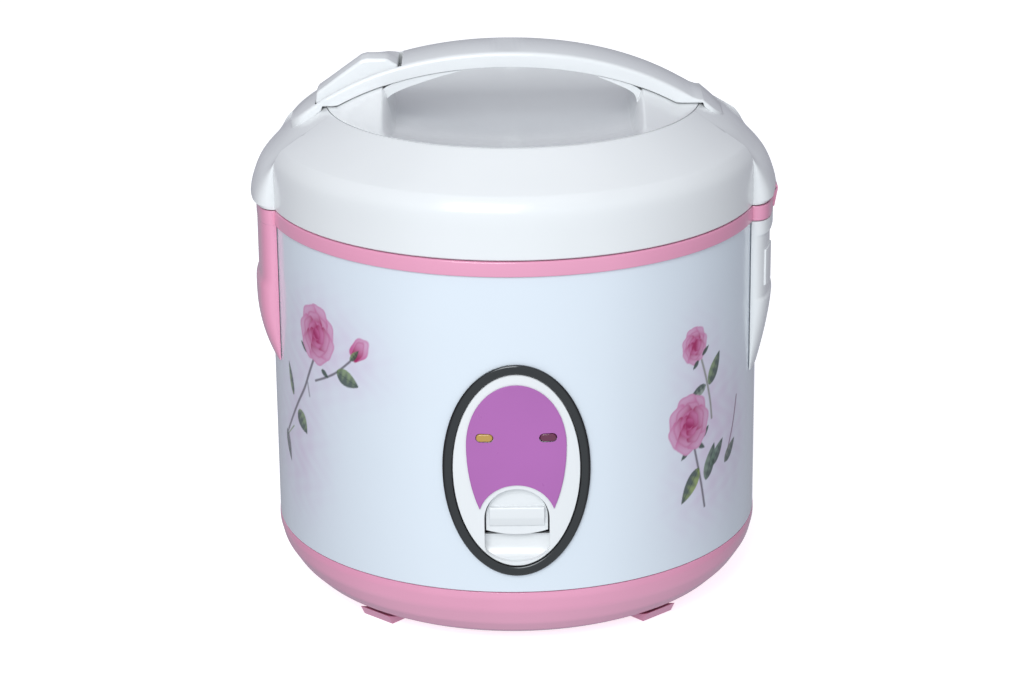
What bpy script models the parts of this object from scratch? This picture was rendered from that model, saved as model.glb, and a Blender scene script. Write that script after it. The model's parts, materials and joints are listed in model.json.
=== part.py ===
"""Jar-type rice cooker with a hinged, latched lid, built as separate solids.

Frame: +Z up, origin on the ground under the middle of the body, control panel on -Y,
lid latch on -X and lid hinge on +X.  Sizes are written in millimetres and every mesh is
scaled to metres by MM.
"""
import bmesh
import bpy
import numpy as np
from mathutils import Vector

MM = 0.001
GAP = 0.3              # clearance between touching pieces

# body
BODY_R = 125.0         # outer radius of the printed shell
SHELL_T = 1.2
SEAM_Z = 34.9          # joint between base housing and shell
SHELL_TOP = 198.4
COLLAR_R = 126.2
COLLAR_Z = (198.7, 206.3)
COLLAR_BORE = 110.0
EAR_ANGLES = (0, 7, 12, 14.3, 16.3, 17.6)     # degrees from the middle of a side ear
EAR_SHAPE = (1, 1, 1, 0.93, 0.72, 0)          # share of the ear's full depth at those angles
EAR_SPAN = (-17.6, -16.3, -14.3, -12, -7, 0, 7, 12, 14.3, 16.3, 17.6)
EAR_PROUD_RIGHT, EAR_PROUD_LEFT = 7.0, 5.7
LEFT_EAR_LOW, RIGHT_EAR_LOW = 127.0, 119.0
DEW_TOP = 198.2

# lid
RIM_R, RIM_Z = 95.0, 254.0            # edge of the sunk insert
BOWL_Z = 238.0
EAR_SLOPE = 0.74                      # fall of the lid under the handle ends
GUSSET_IN, GUSSET_OUT = 59.0, 66.0    # finger opening: where its end walls start and end
HINGE = (132.4, 0.0, 209.3)
BARREL_R, PIN_R = 2.2, 1.0
BARREL_HALF, LUG_OUT = 9.7, 16.0

# carrying handle
HANDLE_TOP, HANDLE_HALF, HANDLE_END, HANDLE_H = 281.6, 16.8, 109.5, 7.7
ARCH_MID = -3.0                       # the arch's crest sits a little towards the button
ARCH_2, ARCH_4 = 2.15e-3, 7.0e-8      # droop of the arch per mm^2 and per mm^4
HANDLE_WALL = 2.2

# release button and latch
BUTTON_HALF = 15.0
BUTTON_PIVOT = (-97.5, 0.0, 255.5)
BUTTON_SIDE = ((-99.3, 256.4), (-98.8, 261.6), (-87, 270.6), (-76, 278.6), (-73, 279.4), (-63, 278.8),
               (-57.7, 275.2), (-57.4, 272.4), (-70, 268), (-86, 260), (-98.4, 254))
BUTTON_FALL = ((-15, 0.2), (-14.2, 0.08), (-9, 0), (-4, 0), (3, 0.2), (9, 0.4), (14.2, 0.6), (15, 0.68))
LATCH_PIVOT = (-122.5, 0.0, 218.5)

# cooking parts
POT_R, POT_BOTTOM, POT_RIM_R, POT_RIM_Z = 100.0, 72.4, 108.5, 204.7
CHAMBER_R = 108.8
PLATE_R, PLATE_Z = 90.0, (60.4, 72.0)
LEVER_PIVOT = (0.0, -40.0, 44.0)
VENT_XY = (0.0, 86.3)

# control panel: ellipses wrapped on the shell, centred at PANEL_Z
PANEL_Z = 99.2
BEZEL_A, BEZEL_B, BEZEL_HALF = 34.1, 52.7, 2.35
PLATE_A, PLATE_B = 31.4, 50.0
PLATE_OUT, PLATE_IN = 125.9, 122.4
WINDOW_HALF, WINDOW_TOP_C, WINDOW_LOW_C, WINDOW_LOW = 16.0, 74.0, 59.0, 51.4
LAMP_X, LAMP_Z, LAMP_W, LAMP_H = 15.5, 116.6, 8.2, 4.0

PINK = (0.80, 0.36, 0.55)
WHITE = (0.86, 0.90, 0.94)
STEEL = (0.62, 0.63, 0.64)
ALUMINIUM = (0.78, 0.79, 0.80)
BRASS = (0.78, 0.60, 0.25)
BLACK = (0.03, 0.03, 0.035)


# ---------------------------------------------------------------- mesh helpers

def material(name, colour, roughness, metallic=0.0):
    mat = bpy.data.materials.get(name)
    if mat is None:
        mat = bpy.data.materials.new(name)
        mat.use_nodes = True
        shader = mat.node_tree.nodes["Principled BSDF"]
        shader.inputs["Base Color"].default_value = (*colour, 1.0)
        shader.inputs["Roughness"].default_value = roughness
        shader.inputs["Metallic"].default_value = metallic
        mat.diffuse_color = (*colour, 1.0)
    return mat


def make(name, verts, faces, mat=None):
    """A mesh object from points in millimetres, with merged points and outward faces."""
    mesh = bpy.data.meshes.new(name)
    mesh.from_pydata([tuple(float(c) * MM for c in v) for v in verts], [], faces)
    work = bmesh.new()
    work.from_mesh(mesh)
    bmesh.ops.remove_doubles(work, verts=work.verts, dist=1e-6)
    bmesh.ops.dissolve_degenerate(work, edges=work.edges, dist=1e-7)
    bmesh.ops.recalc_face_normals(work, faces=work.faces)
    work.to_mesh(mesh)
    work.free()
    mesh.shade_smooth()
    mesh.set_sharp_from_angle(angle=np.radians(32))
    obj = bpy.data.objects.new(name, mesh)
    bpy.context.scene.collection.objects.link(obj)
    if mat:
        mesh.materials.append(mat)
    return obj


def loft(name, sections, mat=None, closed=False):
    """Skin through closed loops of equal length; the ends are capped unless closed."""
    count = len(sections[0])
    verts = [p for section in sections for p in section]
    faces = []
    spans = len(sections) if closed else len(sections) - 1
    for i in range(spans):
        a, b = i * count, ((i + 1) % len(sections)) * count
        for j in range(count):
            k = (j + 1) % count
            faces.append((a + j, a + k, b + k, b + j))
    if not closed:
        faces.append(tuple(range(count)))
        faces.append(tuple(range((len(sections) - 1) * count, len(sections) * count)))
    return make(name, verts, faces, mat)


def lathe(name, profile, mat=None, segments=48, centre=(0.0, 0.0)):
    """Turn a closed (radius, z) outline about a vertical axis."""
    verts, faces, first = [], [], []
    for radius, z in profile:
        first.append(len(verts))
        if radius == 0:
            verts.append((centre[0], centre[1], z))
            continue
        for angle in np.linspace(0, 2 * np.pi, segments, endpoint=False):
            verts.append((centre[0] + radius * np.cos(angle), centre[1] + radius * np.sin(angle), z))
    for i, a in enumerate(first):
        j = (i + 1) % len(profile)
        b = first[j]
        flat_a, flat_b = profile[i][0] == 0, profile[j][0] == 0
        if flat_a and flat_b:
            continue
        for s in range(segments):
            t = (s + 1) % segments
            corners = [a if flat_a else a + s, b if flat_b else b + s,
                       b if flat_b else b + t, a if flat_a else a + t]
            faces.append(tuple(dict.fromkeys(corners)))
    return make(name, verts, faces, mat)


def prism(name, outline, low, high, axis="z", mat=None):
    """Extrude an outline along an axis; the outline holds the two other coordinates in order."""
    place = {"x": lambda u, v, w: (w, u, v), "y": lambda u, v, w: (u, w, v), "z": lambda u, v, w: (u, v, w)}[axis]
    return loft(name, [[place(u, v, w) for u, v in outline] for w in (low, high)], mat)


def box(name, low, high, mat=None):
    outline = [(low[0], low[1]), (high[0], low[1]), (high[0], high[1]), (low[0], high[1])]
    return prism(name, outline, low[2], high[2], "z", mat)


def circle(radius, segments, centre=(0.0, 0.0)):
    turn = np.linspace(0, 2 * np.pi, segments, endpoint=False)
    return [(centre[0] + radius * np.cos(a), centre[1] + radius * np.sin(a)) for a in turn]


def tube(name, path, radius, sides, mat=None):
    """A round wire along a list of points."""
    path = np.asarray(path, float)
    ahead = np.gradient(path, axis=0)
    ahead /= np.linalg.norm(ahead, axis=1)[:, None]
    up = np.cross(ahead[0], (0.3, 0.1, 0.9))
    sections = []
    for point, direction in zip(path, ahead):
        up = up - direction * np.dot(up, direction)
        up /= np.linalg.norm(up)
        side = np.cross(direction, up)
        turn = np.linspace(0, 2 * np.pi, sides, endpoint=False)
        sections.append([point + radius * (np.cos(a) * up + np.sin(a) * side) for a in turn])
    return loft(name, sections, mat)


def smooth_path(points, steps):
    """Catmull-Rom curve through points."""
    p = np.asarray([points[0], *points, points[-1]], float)
    out = []
    for i in range(1, len(p) - 2):
        for t in np.linspace(0, 1, steps, endpoint=False):
            out.append(0.5 * (2 * p[i] + (p[i + 1] - p[i - 1]) * t
                              + (2 * p[i - 1] - 5 * p[i] + 4 * p[i + 1] - p[i + 2]) * t ** 2
                              + (3 * p[i] - p[i - 1] - 3 * p[i + 1] + p[i + 2]) * t ** 3))
    out.append(p[-2])
    return out


def combine(target, other, operation):
    """Apply an exact boolean and drop the other object."""
    step = target.modifiers.new(operation.lower(), "BOOLEAN")
    step.object = other
    step.operation = operation
    step.solver = "EXACT"
    graph = bpy.context.evaluated_depsgraph_get()
    mesh = bpy.data.meshes.new_from_object(target.evaluated_get(graph))
    target.modifiers.clear()
    old = target.data
    target.data = mesh
    bpy.data.meshes.remove(old)
    bpy.data.objects.remove(other)
    work = bmesh.new()
    work.from_mesh(mesh)
    bmesh.ops.remove_doubles(work, verts=work.verts, dist=2e-6)
    bmesh.ops.dissolve_degenerate(work, edges=work.edges, dist=1e-7)
    work.to_mesh(mesh)
    work.free()
    mesh.shade_smooth()
    mesh.set_sharp_from_angle(angle=np.radians(32))
    return target


def cut(target, other):
    return combine(target, other, "DIFFERENCE")


def join(target, other):
    return combine(target, other, "UNION")


def hang(pieces, pivot):
    """Parent pieces to an empty on their joint's axis, keeping them where they are."""
    empty = bpy.data.objects.new(pieces[0].name + "_axis", None)
    empty.location = Vector(pivot) * MM
    bpy.context.scene.collection.objects.link(empty)
    for piece in pieces:
        piece.parent = empty
        piece.location = -empty.location
    return empty


# ---------------------------------------------------------------- shared shapes

def smoothstep(low, high, value):
    t = np.clip((value - low) / (high - low), 0, 1)
    return t * t * (3 - 2 * t)


def ring_angles():
    """Angles round the body in degrees, closer together at the ears."""
    quarter = list(EAR_ANGLES) + list(np.linspace(28, 90, 7))
    half = quarter + [180 - a for a in quarter[-2::-1]]
    return half + [360 - a for a in half[-2:0:-1]]


def from_axis(angle):
    """Angle in degrees to the nearer end of the X axis."""
    folded = abs((angle + 180) % 360 - 180)
    return min(folded, 180 - folded)


def ear(angle):
    return np.interp(from_axis(angle), EAR_ANGLES, EAR_SHAPE)


def polar(radius, angle, z):
    return radius * np.cos(np.radians(angle)), radius * np.sin(np.radians(angle)), z


def arch_top(x):
    """Top of the handle; near its ends it keeps clear of the lid that it lies on."""
    along = x - ARCH_MID
    over_lid = RIM_Z + 2.4 - 0.85 * max(abs(x) - 95.5, 0)
    return max(HANDLE_TOP - ARCH_2 * along ** 2 - ARCH_4 * along ** 4, over_lid)


def arch_bottom(x):
    return arch_top(x) - HANDLE_H


def insert_top(x, y):
    """Height of the sunk lid insert: a finger bowl with a flared gusset at each handle end."""
    bowl = BOWL_Z + (RIM_Z - BOWL_Z) * min(np.hypot(x, y) / RIM_R, 1) ** 2
    reach = np.sqrt(max(RIM_R ** 2 - x ** 2, 0))
    out = np.clip((abs(y) - HANDLE_HALF) / max(reach - HANDLE_HALF, 1), 0, 1)
    crest = max(arch_bottom(x) - GAP, RIM_Z)
    gusset = RIM_Z + (crest - RIM_Z) * (1 - out) ** 2.2
    side = smoothstep(GUSSET_IN, GUSSET_OUT, abs(x))
    return bowl + (gusset - bowl) * side


def lid_surface(x, y):
    r = np.hypot(x, y)
    return insert_top(x, y) if r < RIM_R else RIM_Z - EAR_SLOPE * (r - RIM_R)


def wrap(u, z, radius):
    """Point on the shell's front, u measured along the curve from the middle."""
    angle = u / BODY_R
    return radius * np.sin(angle), -radius * np.cos(angle), z


def ellipse(a, b, segments, centre_z=PANEL_Z):
    turn = np.linspace(0, 2 * np.pi, segments, endpoint=False)
    return [(a * np.sin(t), centre_z + b * np.cos(t)) for t in turn]


def window_outline(grow=0.0):
    """Opening for the switch key: round top, straight sides, shallow round bottom."""
    half = WINDOW_HALF + grow
    top = [(half * np.cos(t), WINDOW_TOP_C + half * np.sin(t)) for t in np.linspace(0, np.pi, 13)]
    depth = WINDOW_LOW_C - WINDOW_LOW + grow
    low = [(half * np.cos(t), WINDOW_LOW_C + depth * np.sin(t)) for t in np.linspace(np.pi, 2 * np.pi, 11)]
    return top + low


def slot_outline(x, z, width, height, segments=6):
    """A slot with round ends."""
    r, half = height / 2, (width - height) / 2
    right = [(x + half + r * np.cos(t), z + r * np.sin(t)) for t in np.linspace(-np.pi / 2, np.pi / 2, segments)]
    left = [(x - half + r * np.cos(t), z + r * np.sin(t)) for t in np.linspace(np.pi / 2, 1.5 * np.pi, segments)]
    return right + left


def wrapped_disc(name, outline, rings, inner, outer, mat):
    """A plate that follows the shell: an outline shrunk to rings about the panel's centre."""
    count = len(outline)
    verts, faces = [], []
    for radius in (inner, outer):
        verts.append(wrap(0, PANEL_Z, radius))
        for scale in rings:
            verts += [wrap(u * scale, PANEL_Z + (z - PANEL_Z) * scale, radius) for u, z in outline]
    per_side = 1 + count * len(rings)
    for side in (0, per_side):
        for j in range(count):
            k = (j + 1) % count
            faces.append((side, side + 1 + j, side + 1 + k))
            for i in range(len(rings) - 1):
                a, b = side + 1 + i * count, side + 1 + (i + 1) * count
                faces.append((a + j, b + j, b + k, a + k))
    rim = 1 + (len(rings) - 1) * count
    for j in range(count):
        k = (j + 1) % count
        faces.append((rim + j, per_side + rim + j, per_side + rim + k, rim + k))
    return make(name, verts, faces, mat)


def ear_solid(name, sign, proud, levels, back, mat=None, angles=EAR_SPAN):
    """A solid against the shell's side: proud(z) outside it, through the given angles."""
    turn = 0 if sign > 0 else 180
    sections = []
    for z in levels:
        front = [polar(BODY_R + 0.9 + proud(z) * ear(a), turn + a, z) for a in angles]
        rear = [polar(back, turn + a, z) for a in reversed(angles)]
        sections.append(front + rear)
    return loft(name, sections, mat)


# ---------------------------------------------------------------- body

def base_parts():
    pink = material("pink_plastic", PINK, 0.25)
    outline = [(125.2, 34.4), (125.3, 31), (123.4, 23.5), (117.6, 14.5), (110.6, 7.6), (103, 3.6),
               (93, 3.6), (93, 5), (80, 5), (80, 7), (102, 7), (114, 15.6), (121.6, 29), (121.6, 41),
               (123.3, 41), (123.3, 34.4)]
    base = lathe("base_housing", outline, pink, 36)
    cut(base, box("inlet_clearance", (-13.4, 110, 37.2), (13.4, 130, 45)))
    cover = lathe("bottom_cover", [(0, 3.6), (92.6, 3.6), (92.6, 4.7), (0, 4.7)],
                  material("zinc_steel", STEEL, 0.45, 1.0), 32)
    for i in range(6):
        slot = prism("slot", slot_outline(0, 0, 30, 5, 4), 2, 6)
        slot.rotation_euler[2] = np.radians(30 + 60 * i)
        slot.location = (0.052 * np.cos(np.radians(60 * i)), 0.052 * np.sin(np.radians(60 * i)), 0)
        bpy.context.view_layer.update()
        cut(cover, slot)
    for i in range(3):
        centre = [86.5 * f(np.radians(60 + 120 * i)) for f in (np.cos, np.sin)]
        lathe("base_screw_%d" % (i + 1), [(0, 2.3), (3.2, 2.3), (3.2, 3.3), (1.4, 3.3), (1.4, 8.6), (0, 8.6)],
              material("screw_steel", STEEL, 0.35, 1.0), 10, centre)
        for target in (base, cover):
            cut(target, prism("hole", circle(1.9, 10, centre), 2, 10))
    for i, angle in enumerate((-47.5, -132.5, 132.5, 47.5)):
        side = [(95, 0), (105.5, 0), (108.2, 5), (103.2, 3.2), (95, 3.2)]
        foot = prism("foot_%d" % (i + 1), side, -10, 10, "y", material("pink_rubber", PINK, 0.6))
        foot.rotation_euler[2] = np.radians(angle)


def shell_parts():
    shell = lathe("outer_shell", [(BODY_R - SHELL_T, SEAM_Z), (BODY_R, SEAM_Z), (BODY_R, SHELL_TOP),
                                  (BODY_R - SHELL_T, SHELL_TOP)], material("printed_shell", WHITE, 0.2), 48)
    cut(shell, prism("opening", ellipse(33, 51.6, 32), -135, -100, "y"))
    cut(shell, box("opening", (-13.4, 110, 37.2), (13.4, 135, 55)))
    chamber = [(120.5, 202), (CHAMBER_R, 202), (CHAMBER_R, 59.2), (93, 59.2), (93, 60), (108, 60),
               (108, 202.7), (120.5, 202.7)]
    metal = material("aluminised_steel", ALUMINIUM, 0.4, 1.0)
    lathe("inner_chamber", chamber, metal, 36)
    band = [(109.2, 100), (110.4, 100), (110.4, 118), (109.2, 118)]
    lathe("keep_warm_heater", band, material("mica", (0.45, 0.40, 0.33), 0.7), 36)


def collar_part():
    pink = material("pink_plastic", PINK, 0.25)
    low, high = COLLAR_Z
    sections = []
    for angle in ring_angles():
        proud = EAR_PROUD_RIGHT if abs((angle + 180) % 360 - 180) < 90 else EAR_PROUD_LEFT
        out = COLLAR_R + proud * ear(angle)
        loop = [(out, low), (out, high - 0.8), (out - 0.8, high), (COLLAR_BORE, high), (COLLAR_BORE, 203),
                (121.5, 203), (121.5, 190), (123.3, 190), (123.3, low)]
        sections.append([polar(r, angle, z) for r, z in loop])
    collar = loft("top_collar", sections, pink, closed=True)

    def left_proud(z):
        fade = 1 - np.clip((160 - z) / 33, 0, 1) ** 2.2
        return (5.5 + 1.5 * smoothstep(170, 164, z)) * fade + 0.3

    levels = (LEFT_EAR_LOW, 130, 135, 142, 151, 160, 164, 170, 200)
    side = ear_solid("side", -1, left_proud, levels, BODY_R + 0.4)
    hollow = ear_solid("hollow", -1, lambda z: left_proud(z) - 2.4, (140, 151, 160, 164, 170, 203), 120,
                       angles=(-13.8, -6.5, 0, 6.5, 13.8))
    cut(side, hollow)
    join(collar, side)
    cut(collar, box("slot", (-130, -12.6, 198), (-121.2, 12.6, 208)))
    for sign in (-1, 1):
        lug = lug_prism("lug", sign)
        join(collar, lug)
    return collar


def lug_prism(name, sign):
    """Hinge lug on the collar's right ear, with a clear hole for the pin."""
    x, _, z = HINGE
    top = [(x + BARREL_R * np.cos(t), z + BARREL_R * np.sin(t)) for t in np.linspace(0, np.pi, 9)]
    outline = [(x - BARREL_R, COLLAR_Z[0] + 1), (x + 0.4, COLLAR_Z[0] + 1), *top]
    near, far = sorted((sign * (BARREL_HALF + GAP), sign * LUG_OUT))
    lug = prism(name, outline, near, far, "y")
    return cut(lug, prism("hole", circle(PIN_R + GAP, 12, (x, z)), near - 1, far + 1, "y"))


def heater_parts():
    low, high = PLATE_Z
    outline = [(17.2, high - 0.4), (82, high), (PLATE_R, high - 3), (PLATE_R, low + 3), (86, low), (17.2, low)]
    lathe("heating_plate", outline, material("cast_aluminium", ALUMINIUM, 0.45, 1.0), 32)
    for i in range(3):
        centre = [84.5 * f(np.radians(120 * i)) for f in (np.cos, np.sin)]
        prism("plate_standoff_%d" % (i + 1), circle(3, 10, centre), 7.3, low - GAP, "z",
              material("zinc_steel", STEEL, 0.45, 1.0))
    housing = [(12.5, 49), (15, 49), (15, 58.9), (21, 58.9), (21, low - GAP), (16.5, low - GAP), (16.5, 64),
               (12.5, 64)]
    lathe("thermostat_housing", housing, material("zinc_steel", STEEL, 0.45, 1.0), 20)
    turns = np.linspace(0, 2 * np.pi * 1.5, 19)
    coil = [(14.4 * np.cos(t), 14.4 * np.sin(t), 64.75 + 0.9 * t / turns[-1]) for t in turns]
    tube("thermostat_spring", coil, 0.28, 5, material("spring_steel", STEEL, 0.3, 1.0))
    cap = lathe("thermostat_cap", [(0, 62), (11.8, 62), (11.8, 69.5), (16.4, 69.5), (16.4, 71.6), (15.8, 72.1),
                                   (0, 72.1)], material("cast_aluminium", ALUMINIUM, 0.45, 1.0), 24)
    plunger = lathe("magnet_plunger", [(0, 40.7), (6.5, 40.7), (6.5, 41.7), (3.2, 41.7), (3.2, 46.6), (6.5, 46.6),
                                       (6.5, 47.6), (3.2, 47.6), (3.2, 50.5), (11.5, 50.5), (11.5, 54), (0, 54)],
                    material("ferrite", (0.08, 0.08, 0.09), 0.6), 14)
    hang([cap], (0, 0, 72))
    hang([plunger], (0, 0, 44))
    pot = [(0, POT_BOTTOM), (86, POT_BOTTOM), (96, 76.4), (POT_R, 86), (POT_R, 203.4), (POT_RIM_R, 203.4),
           (POT_RIM_R, POT_RIM_Z), (100.2, POT_RIM_Z), (98.5, 202.6), (98.5, 86.5), (94.8, 77.7),
           (85.6, 73.9), (0, 73.9)]
    hang([lathe("inner_pot", pot, material("coated_aluminium", (0.45, 0.46, 0.48), 0.35, 1.0), 36)], (0, 0, 72))


def fitting_parts():
    """Electrical pieces inside the rear and under the heating plate."""
    black = material("black_plastic", BLACK, 0.5)
    inlet = box("ac_inlet", (-12.8, 104, 37.8), (12.8, 126, 54.4), black)
    join(inlet, prism("flange", slot_outline(0, 46.1, 34, 21.6, 5), 125.3, 127.0, "y"))
    cut(inlet, prism("socket", slot_outline(0, 46.1, 22, 12.6, 5), 107.6, 130, "y"))
    for name, x, z in (("live_pin", -6, 44.4), ("neutral_pin", 6, 44.4), ("earth_pin", 0, 48.6)):
        cut(inlet, prism("hole", circle(1.5, 8, (x, z)), 100, 110, "y"))
        prism(name, circle(1.2, 8, (x, z)), 101.5, 121, "y", material("brass", BRASS, 0.3, 1.0))
    block = box("terminal_block", (-17, 82, 7.3), (17, 96, 19), material("phenolic", (0.32, 0.14, 0.07), 0.6))
    for i in range(3):
        cut(block, prism("hole", circle(2.2, 8, (-10 + 10 * i, 13.4)), 80, 90, "y"))
    routes = {"inlet_lead": ((-6, 101, 44.4), (-6, 98, 43.4), (-8, 97.2, 34), (-10, 97, 25), (-10, 92, 20.4)),
              "heater_lead": ((12, 88, 20.4), (22, 76, 30), (36, 60, 42), (44, 49, 53.5))}
    for name, route in routes.items():
        tube(name, smooth_path(route, 4), 0.9, 6, material("wire_sleeve", (0.8, 0.78, 0.7), 0.5))
    tube("thermal_fuse", [(45, 46, 57), (33, 34, 57)], 2.6, 10, material("screw_steel", STEEL, 0.35, 1.0))
    bracket = [(-7.5, 38), (-7.5, 60.1), (7.5, 60.1), (7.5, 38), (6.2, 38), (6.2, 58.8), (-6.2, 58.8), (-6.2, 38)]
    holder = prism("lever_bracket", bracket, -46, -34, "y", material("zinc_steel", STEEL, 0.45, 1.0))
    axle = LEVER_PIVOT[1:]
    cut(holder, prism("hole", circle(1.5, 10, axle), -9, 9, "x"))
    prism("lever_pin", circle(1.2, 10, axle), -8.2, 8.2, "x", material("screw_steel", STEEL, 0.35, 1.0))
    stand = [(-91.5, 7.3), (-90, 7.3), (-90, 34), (-91.5, 34)]
    prism("switch_bracket", stand, -11, 11, "x", material("zinc_steel", STEEL, 0.45, 1.0))
    switch = box("microswitch", (-10, -89.7, 24), (10, -79, 36.5), black)
    cut(switch, prism("hole", circle(2.0, 10, (0, -84)), 26, 40))
    button = prism("microswitch_plunger", circle(1.6, 10, (0, -84)), 31, 42.6, "z",
                   material("red_plastic", (0.6, 0.05, 0.05), 0.4))
    hang([button], (0, -84, 36))
    for name, x in (("warm_neon_lamp", -LAMP_X), ("cook_neon_lamp", LAMP_X)):
        prism(name, circle(2.6, 8, (x, LAMP_Z)), -119.5, -112, "y", material("lamp_glass", (0.9, 0.6, 0.4), 0.1))


def panel_parts():
    chrome = material("chrome", (0.75, 0.76, 0.78), 0.08, 1.0)
    white = material("white_plastic", WHITE, 0.25)
    section = ((-1.0, 125.35), (-1.0, 126.3), (-0.5, 127.0), (0.5, 127.0), (1.0, 126.2), (1.0, 125.35))
    loops = []
    for t in np.linspace(0, 2 * np.pi, 44, endpoint=False):
        u, z = BEZEL_A * np.sin(t), BEZEL_B * np.cos(t)
        out = np.array((BEZEL_B * np.sin(t), BEZEL_A * np.cos(t)))
        out /= np.linalg.norm(out)
        loops.append([wrap(u + out[0] * s * BEZEL_HALF, PANEL_Z + z + out[1] * s * BEZEL_HALF, r)
                      for s, r in section])
    loft("panel_bezel", loops, chrome, closed=True)
    plate = wrapped_disc("panel_plate", ellipse(PLATE_A, PLATE_B, 32), (0.35, 0.7, 1.0), PLATE_IN, PLATE_OUT,
                         white)
    cut(plate, prism("window", window_outline(), -130, -115, "y"))
    scoop_side = [(-122.7, 49.6), (-119.4, 52.2), (-117.4, 57.5), (-116.6, 63.5), (-122.7, 63.5)]
    scoop = prism("scoop", scoop_side, -17.5, 17.5, "x")
    combine(scoop, prism("trim", ellipse(32.2, 50.8, 32), -125, -110, "y"), "INTERSECT")
    curve = [(-126 + 7.6 * np.sin(t), 65.4 - 14 * np.cos(t)) for t in np.radians((24, 35, 50, 65, 80))]
    cut(scoop, prism("dish", [(-124, 52.4), *curve, (-118.4, 70), (-124, 70)], -16, 16, "x"))
    join(plate, scoop)
    label = wrapped_disc("panel_label", label_outline(), (0.4, 0.75, 1.0), 126.25, 126.6,
                         material("purple_film", (0.42, 0.12, 0.42), 0.3))
    cut(label, prism("clear", circle(19.2, 24, (0, 73)), -130, -120, "y"))
    for x, lens in ((-LAMP_X, "warm_lamp_lens"), (LAMP_X, "cook_lamp_lens")):
        cut(label, prism("hole", slot_outline(x, LAMP_Z, LAMP_W + 0.6, LAMP_H + 0.6), -130, -120, "y"))
        cut(plate, prism("hole", slot_outline(x, LAMP_Z, LAMP_W + 0.6, LAMP_H + 0.6), -130, -115, "y"))
        tint = (0.75, 0.42, 0.08) if x < 0 else (0.28, 0.02, 0.08)
        prism(lens, slot_outline(x, LAMP_Z, LAMP_W, LAMP_H), -125.9, -120.5, "y", material(lens, tint, 0.15))


def label_outline():
    """Egg shape, wide above the middle, that the switch surround bites into."""
    turn = np.linspace(0, 2 * np.pi, 28, endpoint=False)
    return [(24.4 * np.sin(t), 112 + (32 if np.cos(t) > 0 else 49) * np.cos(t)) for t in turn]


def switch_parts():
    """Pressed-steel lever under the chamber, with the plastic key on its front end."""
    steel = material("zinc_steel", STEEL, 0.45, 1.0)
    bar = [(-4, -113.5), (4, -113.5), (4, -16), (7, -13), (7, 4), (3.9, 4), (3.9, -6), (-3.9, -6), (-3.9, 4),
           (-7, 4), (-7, -13), (-4, -16)]
    lever = prism("cook_lever", bar, 43, 45, "z", steel)
    join(lever, box("riser", (-3.9, -113.4, 44), (3.9, -111.5, 84)))
    axle = LEVER_PIVOT[1:]
    join(lever, prism("barrel", circle(2.8, 12, axle), -5.8, 5.8, "x"))
    cut(lever, prism("hole", circle(1.5, 10, axle), -9, 9, "x"))
    half = WINDOW_HALF - 0.8
    crown = [(half * np.cos(t), WINDOW_TOP_C + half * np.sin(t)) for t in np.linspace(0, np.pi, 13)]
    lip = [(-half, 67), (-9, 65.2), (0, 64.6), (9, 65.2), (half, 67)]
    key = prism("cook_key", crown + lip, -122.2, -120.2, "y", material("white_plastic", WHITE, 0.25))
    ledge = [(-121.8, 79.4), (-124.7, 79.9), (-125.2, 79.2), (-124.7, 74), (-123.0, 69.6), (-121.8, 68.8)]
    join(key, prism("ledge", ledge, -13.4, 13.4, "x"))
    join(key, box("boss", (-6, -120.8, 76), (6, -113.8, 84)))
    hang([lever, key], LEVER_PIVOT)


def dew_collector_part():
    def proud(z):
        return 6.9 * (1 - np.clip((158 - z) / 39, 0, 1) ** 1.5) + 0.25

    def outer_proud(z):
        return proud(z) - 1.4 * smoothstep(192, 189, z) * smoothstep(154, 159, z)

    levels = (RIGHT_EAR_LOW, 122, 129, 137, 146, 154, 159, 189, 192, DEW_TOP)
    cup = ear_solid("dew_collector", 1, outer_proud, levels, BODY_R + 0.4, material("white_plastic", WHITE, 0.25))
    hollow = ear_solid("hollow", 1, lambda z: outer_proud(z) - 1.6, (136, 146, 154, 159, 189, 192, 202),
                       BODY_R + 1.2, angles=(-12.6, -6.5, 0, 6.5, 12.6))
    cut(cup, hollow)
    for angles in ((-14.8, -11, -7.6), (7.6, 11, 14.8)):
        join(cup, ear_solid("pad", 1, lambda z: outer_proud(z) + 0.9, (163, 182), BODY_R + 5.6, angles=angles))
    hang([cup], (130, 0, 160))


# ---------------------------------------------------------------- lid

def lid_profile(angle):
    """Outer and inner lid outline at one angle: the plain wall blended into the ears."""
    plain = [(125.6, 206.9), (126.2, 207.5), (126.2, 226.7), (125.2, 231.8), (122.4, 236.2), (118, 239.6),
             (95.3, 253.8)]
    flared = [(132.5, 207.1), (134.5, 209.3), (132.6, 217.5), (129.6, 224), (125.2, 229.6), (118, 237),
              (95.3, 253.8)]
    plain_in = [(95.3, 251.6), (118.6, 237), (124.4, 227), (124.4, 206.9)]
    flared_in = [(95.3, 251.6), (117, 235.4), (127.6, 222), (132.2, 207.1)]
    weight = ear(angle)
    return [(a[0] + (b[0] - a[0]) * weight, a[1] + (b[1] - a[1]) * weight)
            for a, b in zip(plain + plain_in, flared + flared_in)]


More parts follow.
